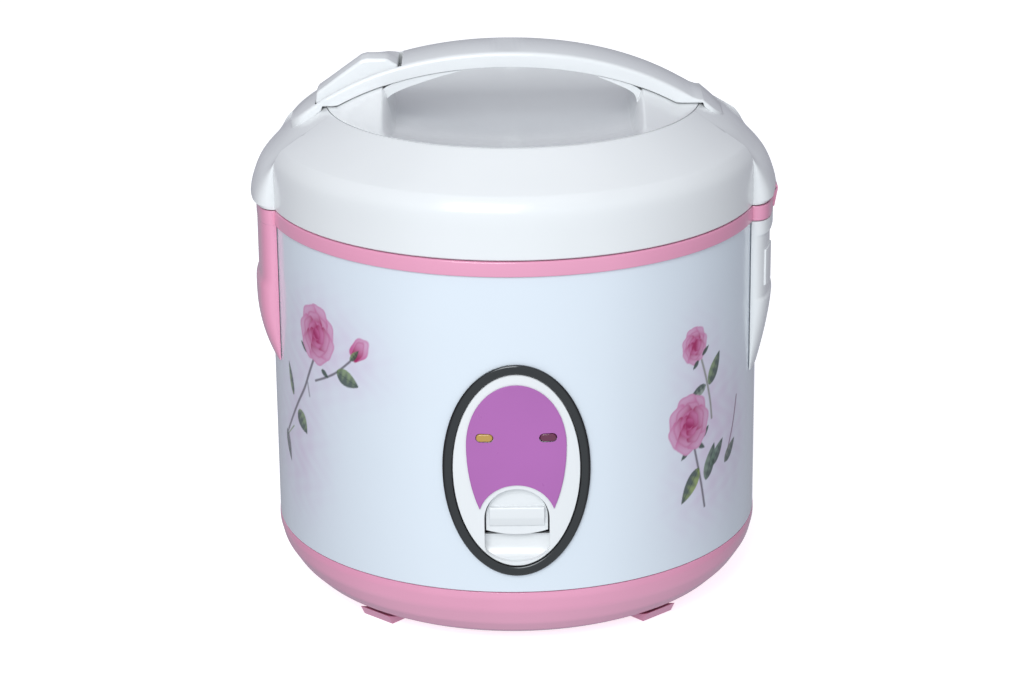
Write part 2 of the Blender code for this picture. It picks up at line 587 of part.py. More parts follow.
def lid_parts():
    white = material("white_plastic", WHITE, 0.25)
    shell = loft("lid_shell", [[polar(r, a, z) for r, z in lid_profile(a)] for a in ring_angles()], white,
                 closed=True)
    x, _, z = HINGE
    for sign in (-1, 1):
        near, far = sorted((sign * (BARREL_HALF + 0.1), sign * (LUG_OUT + 0.2)))
        cut(shell, box("notch", (x - 3.4, near, 205), (x + 6, far, z + 2.9)))
    barrel = prism("barrel", circle(BARREL_R, 16, (x, z)), -BARREL_HALF, BARREL_HALF, "y")
    join(shell, barrel)
    cut(shell, prism("hole", circle(PIN_R + GAP, 12, (x, z)), -30, 30, "y"))
    prism("hinge_pin", circle(PIN_R, 12, (x, z)), -15.6, 15.6, "y", material("screw_steel", STEEL, 0.35, 1.0))

    xs = (0, 30, 50, GUSSET_IN, 62.5, GUSSET_OUT, 75, 84, 90.5, 94.2)
    xs = [-v for v in reversed(xs[1:])] + list(xs)
    ts = np.array((-1, -0.85, -0.6, -0.4, -0.2, 0, 0.2, 0.4, 0.6, 0.85, 1))
    radius = RIM_R - GAP
    sections = []
    for x_at in xs:
        ys = ts * np.sqrt(radius ** 2 - x_at ** 2)
        over = [(x_at, y, insert_top(x_at, y)) for y in ys]
        under = [(x_at, y, h - 2.6) for x_at, y, h in reversed(over)]
        sections.append(over + under)
    insert = loft("lid_insert", sections, white)
    for web in web_outlines():
        join(insert, prism("web", web, -15.9, 15.9, "y"))
    cut(insert, prism("hole", circle(6.2, 16, VENT_XY), 230, 265))

    handle = handle_cover(white)
    strip = []
    for x_at in np.linspace(-84, 80, 15):
        z_low = arch_bottom(x_at)
        strip.append([(x_at, -14.3, z_low), (x_at, 14.3, z_low), (x_at, 14.3, z_low + 1.6),
                      (x_at, -14.3, z_low + 1.6)])
    underside = loft("handle_underside", strip, white)

    liner = lathe("lid_liner", [(0, 209.2), (122.4, 209.2), (123.6, 210), (123.6, 211.6), (0, 211.0)], white, 36)
    cut(liner, box("notch", (-130, -10.3, 200), (-120.4, 10.3, 215)))
    for sign in (-1, 1):
        near, far = sorted((sign * 10.7, sign * 12.6))
        tab = prism("tab", [(-119, 210), (-119, 221), (-125, 221.5), (-126, 216), (-122.9, 211.5), (-122.9, 210)],
                    near, far, "y")
        join(liner, tab)
    cut(liner, prism("hole", circle(1.5, 10, (LATCH_PIVOT[0], LATCH_PIVOT[2])), -20, 20, "y"))
    cut(liner, prism("hole", circle(4.7, 12, VENT_XY), 200, 220))
    cut(liner, prism("hole", circle(3.4, 12), 200, 220))

    plate = lathe("inner_lid_plate", [(3.4, 206.1), (88, 206.1), (98.6, 205.4), (98.6, 206.2), (88, 206.9),
                                      (3.4, 206.9)], material("aluminised_steel", ALUMINIUM, 0.4, 1.0), 36)
    cut(plate, prism("hole", circle(4.7, 12, VENT_XY), 200, 210))
    gasket = lathe("lid_gasket", [(99.0, 205.0), (105.8, 205.0), (105.8, 207.4), (99.0, 207.4)],
                   material("silicone", (0.75, 0.75, 0.74), 0.6), 36)
    knob = lathe("plate_knob", [(0, 202.6), (8, 202.6), (9, 204.2), (8, 205.8), (3, 205.8), (3, 211.3),
                                (5.5, 211.3), (5.5, 213), (0, 213)], material("silicone", (0.75, 0.75, 0.74), 0.6), 16)
    vent = lathe("vent_tube", [(3.2, 208.5), (4.3, 208.5), (4.3, 245.2), (5.9, 245.2), (5.9, 247.6), (5.2, 247.6),
                               (5.2, 246.4), (3.2, 246.4)], white, 14, VENT_XY)
    cap = lathe("steam_vent_cap", [(4.6, 247.9), (5.7, 247.9), (5.7, 252.4), (5.1, 253.1), (0, 253.4),
                                   (0, 251.9), (4.6, 251.6)], white, 14, VENT_XY)
    for i in range(3):
        cut(cap, prism("slot", slot_outline(VENT_XY[0], VENT_XY[1] - 2.4 + 2.4 * i, 6, 1.1, 4), 250, 258))
    pin = prism("latch_pin", circle(1.2, 10, (LATCH_PIVOT[0], LATCH_PIVOT[2])), -13.4, 13.4, "y",
                material("screw_steel", STEEL, 0.35, 1.0))
    axis = hang([shell, insert, handle, underside, liner, plate, gasket, knob, vent, pin], HINGE)
    cap_axis = hang([cap], (*VENT_XY, 247))
    button = release_button()
    button_axis = hang([button], BUTTON_PIVOT)
    hook, spring = latch_parts()
    hook_axis = hang([hook], LATCH_PIVOT)
    bpy.context.view_layer.update()
    spring.parent = axis
    spring.location = -axis.location
    for child in (cap_axis, button_axis, hook_axis):
        child.parent = axis
        child.location = child.location - axis.location


def web_outlines():
    """The rounded upper corners of the finger opening, seen from the front."""
    right = [(x, arch_bottom(x) - GAP) for x in (43, 50, 57)]
    right += [(62.8, arch_bottom(62.8) - 0.9), (66.5, arch_bottom(66.5) - 2.5), (66.5, 256), (62.6, 254.6),
              (61.7, 258.7), (56.8, 262), (50, 265.2), (43, arch_bottom(43) - 0.9)]
    left = [(x, arch_bottom(x) - GAP) for x in (-26, -38, -50, -60)]
    left += [(-63.5, arch_bottom(-63.5) - 0.9), (-67, arch_bottom(-67) - 2.5), (-67, 256), (-64.4, 254.6),
             (-63, 258.6), (-53.4, 263.4), (-37.7, 268.8), (-26, arch_bottom(-26) - 0.8)]
    return right, left


def handle_cover(mat):
    """Hollow arch over the lid, open underneath, with a window for the release button."""
    def floor_at(x, y):
        lid = RIM_Z if abs(x) < RIM_R + 1 else lid_surface(x, y)
        return max(arch_bottom(x), lid_surface(x, y) + 0.5, lid + 0.5 if abs(x) > 88 else 0)

    middle = [-82, -71, -59, -46, -32, -16, 0, 16, 32, 46, 59, 71, 82]
    left, right = ARCH_MID - HANDLE_END, ARCH_MID + HANDLE_END
    stops = [left, left + 1.8, left + 5, -102.5, -95.9, -90] + middle
    stops += [90, 95.9, 100, right - 3.4, right - 1.3, right]
    sections = []
    for x in stops:
        half = HANDLE_HALF - 7 * np.clip((abs(x - ARCH_MID) - 100) / (HANDLE_END - 100), 0, 1) ** 3
        floor = [floor_at(x, y) for y in (half, half / 2, 0)]
        top = arch_top(x)
        low = min(2.5, 0.5 * (top - floor[0]))
        edge = min(0.8, 0.2 * (top - floor[0]))
        side = [(half, floor[0]), (half, top - low), (half - 0.8, top - edge), (half - 2.8, top)]
        over = [(x, y, h) for y, h in side]
        mirrored = [(x, -y, h) for y, h in reversed(side)]
        under = [(x, -half / 2, floor[1]), (x, 0, floor[2]), (x, half / 2, floor[1])]
        sections.append(over + mirrored + under)
    cover = loft("handle_cover", sections, mat)
    room = []
    inner = HANDLE_HALF - HANDLE_WALL
    for x in (-88, -80, -69, -56, -40, -20, 0, 20, 40, 56, 69, 78, 86):
        top = arch_top(x) - HANDLE_WALL
        low = arch_bottom(x) - 3
        room.append([(x, -inner, low), (x, inner, low), (x, inner, top - 1), (x, inner - 1, top),
                     (x, 1 - inner, top), (x, -inner, top - 1)])
    cut(cover, loft("room", room))
    window = [(-99.7, 251), (-99.7, 290), (-55.6, 290), (-55.6, 268.5), (-70, 264), (-86, 257)]
    cut(cover, prism("window", window, -BUTTON_HALF - 0.5, BUTTON_HALF + 0.5, "y"))
    return cover


def release_button():
    """Button with a long sloping thumb face, crowned so that its top falls away to the back."""
    middle = np.mean(BUTTON_SIDE, axis=0)
    sections = []
    for y, fall in BUTTON_FALL:
        loop = []
        for x, z in BUTTON_SIDE:
            over = max(z - arch_top(x), 0)
            point = np.array((x, z - fall * over))
            if abs(y) == BUTTON_HALF:
                point += (middle - point) * 0.8 / np.linalg.norm(middle - point)
            loop.append((point[0], y, point[1]))
        sections.append(loop)
    return loft("release_button", sections, material("white_plastic", WHITE, 0.25))


def latch_parts():
    x, _, z = LATCH_PIVOT
    arm = [(-126, z), (-126, 199), (-121.6, 199.6), (-121.6, 202), (-123.8, 202), (-123.8, z)]
    hook = prism("latch_hook", arm, -7, 7, "y", material("white_acetal", (0.85, 0.85, 0.82), 0.4))
    join(hook, prism("boss", circle(3, 14, (x, z)), -6.9, 6.9, "y"))
    cut(hook, prism("hole", circle(1.5, 12, (x, z)), -20, 20, "y"))
    turns = np.linspace(0, 2 * np.pi * 2.5, 19)
    coil = [(x + 1.95 * np.cos(t), 7.6 + 2.4 * t / turns[-1], z + 1.95 * np.sin(t)) for t in turns]
    spring = tube("latch_spring", coil, 0.28, 4, material("spring_steel", STEEL, 0.3, 1.0))
    return hook, spring


def main():
    for obj in list(bpy.data.objects):
        bpy.data.objects.remove(obj)
    base_parts()
    shell_parts()
    collar_part()
    heater_parts()
    fitting_parts()
    panel_parts()
    switch_parts()
    dew_collector_part()
    lid_parts()


main()
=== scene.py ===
"""Looks of the rice cooker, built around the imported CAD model.

Sizes below are in millimetres and repeat the CAD's; meshes are scaled to metres by MM.
"""
import json

import bmesh
import bpy
import numpy as np
from mathutils import Matrix, Vector

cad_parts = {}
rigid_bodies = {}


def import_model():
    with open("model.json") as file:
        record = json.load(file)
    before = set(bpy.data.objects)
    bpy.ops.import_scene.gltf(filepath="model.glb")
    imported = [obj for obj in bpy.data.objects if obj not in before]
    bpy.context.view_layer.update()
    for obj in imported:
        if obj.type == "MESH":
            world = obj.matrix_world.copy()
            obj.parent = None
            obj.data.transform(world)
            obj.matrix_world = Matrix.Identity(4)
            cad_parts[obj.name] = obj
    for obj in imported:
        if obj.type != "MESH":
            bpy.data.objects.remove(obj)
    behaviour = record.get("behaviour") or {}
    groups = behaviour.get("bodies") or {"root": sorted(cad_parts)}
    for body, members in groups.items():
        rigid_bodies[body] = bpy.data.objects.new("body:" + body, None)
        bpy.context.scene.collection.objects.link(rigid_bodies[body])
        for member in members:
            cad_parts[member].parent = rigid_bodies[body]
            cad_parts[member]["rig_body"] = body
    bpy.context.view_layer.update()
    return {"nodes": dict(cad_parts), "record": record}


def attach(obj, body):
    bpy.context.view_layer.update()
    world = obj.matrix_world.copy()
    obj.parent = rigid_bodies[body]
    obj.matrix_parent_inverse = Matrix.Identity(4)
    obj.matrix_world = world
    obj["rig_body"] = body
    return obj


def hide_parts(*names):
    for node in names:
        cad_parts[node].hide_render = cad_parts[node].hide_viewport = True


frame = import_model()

MM = 0.001
NODES = frame["nodes"]

BODY_R, SEAM_Z, SHELL_TOP, SHELL_T = 125.0, 34.9, 198.4, 1.2
COLLAR_R, COLLAR_Z, COLLAR_BORE = 126.2, (198.7, 206.3), 110.0
EAR_IN, EAR_OUT = 11.0, 17.6
EAR_PROUD_RIGHT, EAR_PROUD_LEFT = 7.0, 5.7
LEFT_EAR_LOW, RIGHT_EAR_LOW, DEW_TOP = 127.0, 119.0, 198.2
RIM_R, RIM_Z, EAR_SLOPE, BOWL_Z = 95.0, 254.0, 0.74, 238.0
GUSSET_IN, GUSSET_OUT = 59.0, 66.0
HINGE_X, HINGE_Z, BARREL_R, PIN_R, BARREL_HALF, LUG_OUT = 132.4, 209.3, 2.2, 1.0, 9.7, 16.0
HANDLE_TOP, HANDLE_HALF, HANDLE_END, HANDLE_H = 281.6, 16.8, 109.5, 7.7
HANDLE_TAPER, HANDLE_TAPER_FROM, HANDLE_WALL, INSERT_WALL = 7.0, 100.0, 2.2, 2.6
ARCH_MID, ARCH_2, ARCH_4 = -3.0, 2.15e-3, 7.0e-8
BUTTON_HALF, BUTTON_ROUND = 15.0, 1.2
BUTTON_SIDE = ((-99.3, 256.4), (-98.8, 261.6), (-87, 270.6), (-76, 278.6), (-73, 279.4), (-63, 278.8),
               (-57.7, 275.2), (-57.4, 272.4), (-70, 268), (-86, 260), (-98.4, 254))
BUTTON_FALL = ((-15, 0.2), (-14.2, 0.08), (-9, 0), (-4, 0), (3, 0.2), (9, 0.4), (14.2, 0.6), (15, 0.68))
PANEL_Z = 99.2
BEZEL_A, BEZEL_B, BEZEL_HALF = 34.1, 52.7, 2.35
PLATE_A, PLATE_B, PLATE_OUT, PLATE_IN = 31.4, 50.0, 125.9, 122.4
LAMP_X, LAMP_Z, LAMP_SIZE, LAMP_HOLE = 15.5, 116.6, (8.2, 4.0), (8.2 + 0.6, 4.0 + 0.6)
VENT_XY = (0.0, 86.3)
GAP = 0.3                    # clearance round pins and between touching pieces
FLOOR_HALF = 6000

# the camera, in metres and degrees
CAMERA_PLACE, CAMERA_DOWN, CAMERA_ROLL = (-0.002, -1.55, 0.665), 19.27, -0.58
CAMERA_LENS, CAMERA_SHIFT = 110.93, -0.0011


# ---------------------------------------------------------------- materials

def shader_of(name):
    """A new node material, its tree and its shader."""
    mat = bpy.data.materials.new(name)
    mat.use_nodes = True
    return mat, mat.node_tree, mat.node_tree.nodes["Principled BSDF"]


def node(tree, kind, **values):
    """A node whose settings and inputs are filled in by name."""
    made = tree.nodes.new(kind)
    for key, value in values.items():
        if hasattr(made, key):
            setattr(made, key, value)
        else:
            made.inputs[key.replace("_", " ")].default_value = value
    return made


def noise(tree, scale, detail=3.0, stretch=(1, 1, 1)):
    """Noise in object coordinates, scale in features per metre."""
    place = tree.nodes.new("ShaderNodeTexCoord")
    mapping = tree.nodes.new("ShaderNodeMapping")
    mapping.inputs["Scale"].default_value = stretch
    made = node(tree, "ShaderNodeTexNoise", Scale=scale, Detail=detail)
    tree.links.new(place.outputs["Object"], mapping.inputs["Vector"])
    tree.links.new(mapping.outputs["Vector"], made.inputs["Vector"])
    return made


def ramp(tree, source, low, high, start=0.3, stop=0.7):
    made = tree.nodes.new("ShaderNodeValToRGB")
    made.color_ramp.elements[0].position = start
    made.color_ramp.elements[1].position = stop
    made.color_ramp.elements[0].color = (*low, 1)
    made.color_ramp.elements[1].color = (*high, 1)
    tree.links.new(source, made.inputs["Fac"])
    return made


def surface(name, colour, rough=0.3, metallic=0.0, vary=0.03, grain=260.0, bump=0.04, spread=0.06,
            coat=0.0, stretch=(1, 1, 1), printed=None):
    """Plastic, rubber or metal with slight colour drift, uneven gloss and a fine surface grain."""
    mat, tree, shader = shader_of(name)
    shader.inputs["Metallic"].default_value = metallic
    if coat:
        shader.inputs["Coat Weight"].default_value = coat
        shader.inputs["Coat Roughness"].default_value = 0.06
    broad = noise(tree, 14.0)
    low = [c * (1 - vary) for c in colour]
    high = [min(c * (1 + vary), 1) for c in colour]
    tint = ramp(tree, broad.outputs["Fac"], low, high)
    if printed:
        drawn = node(tree, "ShaderNodeVertexColor", layer_name=printed)
        mix = node(tree, "ShaderNodeMix", data_type="RGBA", blend_type="MULTIPLY")
        mix.inputs["Factor"].default_value = 1.0
        tree.links.new(tint.outputs["Color"], mix.inputs["A"])
        tree.links.new(drawn.outputs["Color"], mix.inputs["B"])
        tree.links.new(mix.outputs["Result"], shader.inputs["Base Color"])
    else:
        tree.links.new(tint.outputs["Color"], shader.inputs["Base Color"])
    fine = noise(tree, grain, 4.0, stretch)
    gloss = node(tree, "ShaderNodeMapRange")
    gloss.inputs["To Min"].default_value = max(rough - spread, 0.02)
    gloss.inputs["To Max"].default_value = rough + spread
    tree.links.new(fine.outputs["Fac"], gloss.inputs["Value"])
    tree.links.new(gloss.outputs["Result"], shader.inputs["Roughness"])
    raised = node(tree, "ShaderNodeBump", Strength=bump, Distance=0.0004)
    tree.links.new(fine.outputs["Fac"], raised.inputs["Height"])
    tree.links.new(raised.outputs["Normal"], shader.inputs["Normal"])
    return mat


def make_materials():
    white = (0.80, 0.82, 0.83)
    steel = (0.60, 0.61, 0.62)
    m = {
        "pink_plastic": surface("pink_moulding", (0.80, 0.34, 0.50), 0.22, coat=0.3, bump=0.02),
        "pink_rubber": surface("pink_rubber", (0.72, 0.34, 0.48), 0.6, grain=900, bump=0.15),
        "printed_shell": surface("printed_enamel", (0.72, 0.79, 0.86), 0.20, coat=0.5, bump=0.015,
                                 vary=0.01, printed="Print"),
        "white_plastic": surface("white_moulding", white, 0.22, coat=0.3, bump=0.02, vary=0.015),
        "white_acetal": surface("white_acetal", (0.78, 0.78, 0.74), 0.4),
        "black_plastic": surface("black_moulding", (0.025, 0.025, 0.03), 0.45, grain=700, bump=0.1),
        "red_plastic": surface("red_moulding", (0.55, 0.04, 0.04), 0.35),
        "purple_film": surface("purple_film", (0.42, 0.13, 0.42), 0.3, vary=0.06, bump=0.02),
        "warm_lens": surface("amber_lens", (0.50, 0.30, 0.06), 0.15, coat=0.5),
        "cook_lens": surface("dark_red_lens", (0.12, 0.01, 0.05), 0.15, coat=0.5),
        # painted reflection: the chrome's base colour is made near black to stand in for the dark
        # surroundings it reflects
        "chrome": surface("chrome_with_painted_dark_reflection", (0.05, 0.053, 0.055), 0.16, 1.0, coat=0.35, grain=90, bump=0.01,
                          spread=0.04),
        "zinc_steel": surface("zinc_plate", steel, 0.42, 1.0, vary=0.10, grain=420),
        "screw_steel": surface("turned_steel", steel, 0.32, 1.0, grain=700),
        "spring_steel": surface("drawn_wire", (0.5, 0.51, 0.53), 0.28, 1.0),
        "aluminised_steel": surface("satin_sheet", (0.72, 0.73, 0.74), 0.36, 1.0, grain=600, bump=0.05,
                                    stretch=(1, 1, 0.05)),
        "cast_aluminium": surface("cast_aluminium", (0.66, 0.67, 0.68), 0.46, 1.0, vary=0.08, grain=800,
                                  bump=0.2),
        "coated_aluminium": surface("dark_coating", (0.16, 0.165, 0.17), 0.34, 0.3, vary=0.12, grain=1500,
                                    bump=0.12),
        "brass": surface("brass", (0.70, 0.52, 0.20), 0.28, 1.0, vary=0.06),
        "ferrite": surface("ferrite", (0.06, 0.06, 0.065), 0.6, grain=900, bump=0.2),
        "mica": surface("mica_band", (0.42, 0.37, 0.30), 0.6, vary=0.2, grain=500, bump=0.15),
        "phenolic": surface("phenolic", (0.26, 0.10, 0.05), 0.45, vary=0.15, grain=700),
        "wire_sleeve": surface("woven_sleeve", (0.72, 0.70, 0.62), 0.7, grain=2600, bump=0.4),
        "silicone": surface("silicone", (0.72, 0.72, 0.70), 0.5, grain=500),
    }
    glass, tree, shader = shader_of("lamp_glass")
    shader.inputs["Base Color"].default_value = (0.95, 0.75, 0.6, 1)
    shader.inputs["Roughness"].default_value = 0.08
    shader.inputs["Transmission Weight"].default_value = 0.8
    m["lamp_glass"] = glass
    return m


MATS = make_materials()
SLOT_OF = {s["node"]: s["material_slot"] for s in frame["record"]["subparts"]}


# ---------------------------------------------------------------- mesh helpers

def make(name, verts, faces, sharp=35):
    """A mesh object from points in millimetres, with outward faces."""
    mesh = bpy.data.meshes.new(name)
    mesh.from_pydata((np.asarray(verts, float) * MM).tolist(), [], faces)
    work = bmesh.new()
    work.from_mesh(mesh)
    bmesh.ops.remove_doubles(work, verts=work.verts, dist=1e-6)
    bmesh.ops.recalc_face_normals(work, faces=work.faces)
    work.to_mesh(mesh)
    work.free()
    mesh.shade_smooth()
    mesh.set_sharp_from_angle(angle=np.radians(sharp))
    obj = bpy.data.objects.new(name, mesh)
    bpy.context.scene.collection.objects.link(obj)
    return obj


def loft(name, sections, closed=False, sharp=35):
    """Skin through loops of equal length; the ends are capped unless it is closed."""
    count = len(sections[0])
    verts = [p for section in sections for p in section]
    faces = []
    for i in range(len(sections) if closed else len(sections) - 1):
        a, b = i * count, ((i + 1) % len(sections)) * count
        faces += [(a + j, a + (j + 1) % count, b + (j + 1) % count, b + j) for j in range(count)]
    if not closed:
        faces.append(tuple(range(count)))
        faces.append(tuple(range(len(verts) - count, len(verts))))
    return make(name, verts, faces, sharp)


def prism(name, outline, low, high, axis="z"):
    """Extrude an outline along an axis; the outline holds the two other coordinates in order."""
    place = {"x": lambda u, v, w: (w, u, v),
             "y": lambda u, v, w: (u, w, v),
             "z": lambda u, v, w: (u, v, w)}[axis]
    return loft(name, [[place(u, v, w) for u, v in outline] for w in (low, high)])


def box(name, low, high):
    """A block between two corners."""
    outline = [(low[0], low[1]), (high[0], low[1]), (high[0], high[1]), (low[0], high[1])]
    return prism(name, outline, low[2], high[2])


def circle(radius, segments, centre=(0.0, 0.0)):
    """Points round a circle in its plane."""
    turn = np.linspace(0, 2 * np.pi, segments, endpoint=False)
    return [(centre[0] + radius * np.cos(a), centre[1] + radius * np.sin(a)) for a in turn]


def fillet(points, radii, steps=5):
    """Round the corners of a closed outline; radii may be one number or one for each corner."""
    p = np.asarray(points, float)
    radii = np.full(len(p), radii) if np.isscalar(radii) else radii
    out = []
    for i, corner in enumerate(p):
        before, after = p[i - 1] - corner, p[(i + 1) % len(p)] - corner
        la, lb = np.linalg.norm(before), np.linalg.norm(after)
        before, after = before / la, after / lb
        bend = np.pi - np.arccos(np.clip(before @ after, -1, 1))
        trim = min(radii[i] * np.tan(bend / 2), 0.45 * la, 0.45 * lb)
        if trim < 0.01:
            out.append(tuple(corner))
            continue
        start, end = corner + before * trim, corner + after * trim
        for t in np.linspace(0, 1, steps):
            out.append(tuple((1 - t) ** 2 * start + 2 * t * (1 - t) * corner + t * t * end))
    return out


def smooth(points, steps):
    """Catmull-Rom curve through points."""
    p = np.asarray([points[0], *points, points[-1]], float)
    out = []
    for i in range(1, len(p) - 2):
        for t in np.linspace(0, 1, steps, endpoint=False):
            out.append(0.5 * (2 * p[i] + (p[i + 1] - p[i - 1]) * t
                              + (2 * p[i - 1] - 5 * p[i] + 4 * p[i + 1] - p[i + 2]) * t ** 2
                              + (3 * p[i] - p[i - 1] - 3 * p[i + 1] + p[i + 2]) * t ** 3))
    out.append(p[-2])
    return [tuple(q) for q in out]


def lathe(name, profile, segments=160, centre=(0.0, 0.0), sharp=35):
    """Turn a closed (radius, z) outline about a vertical axis."""
    sections = []
    for a in np.linspace(0, 2 * np.pi, segments, endpoint=False):
        sections.append([(centre[0] + r * np.cos(a), centre[1] + r * np.sin(a), z) for r, z in profile])
    return loft(name, sections, True, sharp)


def combine(target, other, operation):
    """Apply an exact Boolean and remove the other object."""
    step = target.modifiers.new(operation.lower(), "BOOLEAN")
    step.object = other
    step.operation = operation
    step.solver = "EXACT"
    graph = bpy.context.evaluated_depsgraph_get()
    mesh = bpy.data.meshes.new_from_object(target.evaluated_get(graph))
    target.modifiers.clear()
    target.data = mesh
    bpy.data.objects.remove(other)
    mesh.shade_smooth()
    mesh.set_sharp_from_angle(angle=np.radians(35))
    return target


def cut(target, other):
    return combine(target, other, "DIFFERENCE")


def join(target, other):
    return combine(target, other, "UNION")


def soften(obj, width=0.4, segments=2, angle=40):
    """Rounded edges, as a moulding or pressing has."""
    step = obj.modifiers.new("edges", "BEVEL")
    step.width = width * MM
    step.segments = segments
    step.limit_method = "ANGLE"
    step.angle_limit = np.radians(angle)
    step.harden_normals = True
    return obj


def stand_for(obj, *names):
    """Give a detailed piece the body, slot and place of the CAD nodes it stands for."""
    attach(obj, NODES[names[0]]["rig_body"])
    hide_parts(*names)
    if not obj.data.materials:
        obj.data.materials.append(MATS[SLOT_OF[names[0]]])
    return obj


# ---------------------------------------------------------------- shared shapes

def smoothstep(low, high, value):
    """Soft step from 0 at low to 1 at high."""
    t = np.clip((value - low) / (high - low), 0, 1)
    return t * t * (3 - 2 * t)


EAR_EDGE = list(np.linspace(11, 16, 11)) + [16.4, 16.8, 17.1, 17.3, 17.45, 17.55, 17.6]


def ring_angles():
    """Degrees round the body, close together where the ears blend in."""
    quarter = list(np.linspace(0, 10.5, 8)) + EAR_EDGE + list(np.linspace(18.5, 90, 48))
    half = quarter + [180 - a for a in quarter[-2::-1]]
    return half + [360 - a for a in half[-2:0:-1]]


def ear(angle):
    """Depth of a side ear at an angle: flat, then a round corner down to the wall."""
    folded = abs((angle + 180) % 360 - 180)
    t = np.clip((min(folded, 180 - folded) - EAR_IN) / (EAR_OUT - EAR_IN), 0, 1)
    return np.sqrt(1 - t ** 3.2)


def polar(radius, angle, z):
    """Point at a radius, at an angle in degrees from +X."""
    return radius * np.cos(np.radians(angle)), radius * np.sin(np.radians(angle)), z


def arch_top(x):
    """Height of the handle's top along X, kept above the lid."""
    along = x - ARCH_MID
    over_lid = RIM_Z + 2.4 - 0.85 * max(abs(x) - 95.5, 0)
    return max(HANDLE_TOP - ARCH_2 * along ** 2 - ARCH_4 * along ** 4, over_lid)


def arch_bottom(x):
    """Height of the handle's underside."""
    return arch_top(x) - HANDLE_H


def insert_top(x, y):
    """Height of the sunk plate: a bowl, with slopes up to the handle's ends."""
    bowl = BOWL_Z + (RIM_Z - BOWL_Z) * min(np.hypot(x, y) / RIM_R, 1) ** 2
    reach = np.sqrt(max(RIM_R ** 2 - x ** 2, 0))
    out = np.clip((abs(y) - HANDLE_HALF) / max(reach - HANDLE_HALF, 1), 0, 1)
    crest = max(arch_bottom(x) - GAP, RIM_Z)
    gusset = RIM_Z + (crest - RIM_Z) * (1 - out) ** 2.2
    return bowl + (gusset - bowl) * smoothstep(GUSSET_IN, GUSSET_OUT, abs(x))


def lid_surface(x, y):
    """Height of the lid's outer face."""
    r = np.hypot(x, y)
    return insert_top(x, y) if r < RIM_R else RIM_Z - EAR_SLOPE * (r - RIM_R)


def wrap(u, z, radius):
    """Point on a cylinder, u millimetres round from the front's middle."""
    return radius * np.sin(u / BODY_R), -radius * np.cos(u / BODY_R), z


def ellipse(a, b, segments, centre_z=PANEL_Z):
    """Upright ellipse in (x, z)."""
    turn = np.linspace(0, 2 * np.pi, segments, endpoint=False)
    return [(a * np.sin(t), centre_z + b * np.cos(t)) for t in turn]


def window_outline(half=16.0, low=51.4):
    """The opening that the switch key moves in, round at its top and bottom."""
    top = [(half * np.cos(t), 74 + half * np.sin(t)) for t in np.linspace(0, np.pi, 33)]
    bottom = [(half * np.cos(t), 59 + (59 - low) * np.sin(t)) for t in np.linspace(np.pi, 2 * np.pi, 25)]
    return top + bottom


def slot_outline(x, z, width, height, segments=12):
    """A slot with round ends."""
    r, half = height / 2, (width - height) / 2
    turn = np.linspace(-np.pi / 2, np.pi / 2, segments)
    right = [(x + half + r * np.cos(t), z + r * np.sin(t)) for t in turn]
    left = [(x - half + r * np.cos(t), z + r * np.sin(t)) for t in turn + np.pi]
    return right + left


def wrapped_disc(name, outline, rings, inner, outer):
    """A plate that follows the shell, as rings about the panel's centre; its edge is rounded."""
    count = len(outline)
    drop = 0.35 * min(outer - inner, 1.0)
    loops = [(s, inner) for s in rings] + [(1.0, outer - drop), (0.992, outer)]
    loops += [(s, outer) for s in rings[-2::-1]]
    verts = [wrap(0, PANEL_Z, inner), wrap(0, PANEL_Z, outer)]
    for scale, radius in loops:
        verts += [wrap(u * scale, PANEL_Z + (z - PANEL_Z) * scale, radius) for u, z in outline]
    faces = []
    last = 2 + (len(loops) - 1) * count
    for j in range(count):
        k = (j + 1) % count
        faces += [(0, 2 + j, 2 + k), (1, last + k, last + j)]
        for i in range(len(loops) - 1):
            a, b = 2 + i * count, 2 + (i + 1) * count
            faces.append((a + j, b + j, b + k, a + k))
    return make(name, verts, faces)


def ear_solid(name, sign, proud, levels, back, low=-EAR_OUT, high=EAR_OUT):
    """A solid against the shell's side: proud(z) outside it, between the angles low and high."""
    half = list(np.linspace(0, 10, 9)) + EAR_EDGE
    angles = [low] + [a for a in [-v for v in half[:0:-1]] + half if low < a < high] + [high]
    turn = 0 if sign > 0 else 180
    sections = []
    for z in levels:
        front = [polar(BODY_R + 0.9 + proud(z) * ear(a), turn + a, z) for a in angles]
        rear = [polar(back, turn + a, z) for a in reversed(angles)]
        sections.append(front + rear)
    return loft(name, sections)


# ---------------------------------------------------------------- rose print on the shell

LEAF_DARK, LEAF_LIGHT, STEM = (0.06, 0.10, 0.07), (0.28, 0.36, 0.16), (0.20, 0.17, 0.19)
ROSE_DEEP, ROSE_MID, ROSE_PALE = (0.52, 0.025, 0.14), (0.76, 0.14, 0.35), (0.90, 0.48, 0.66)


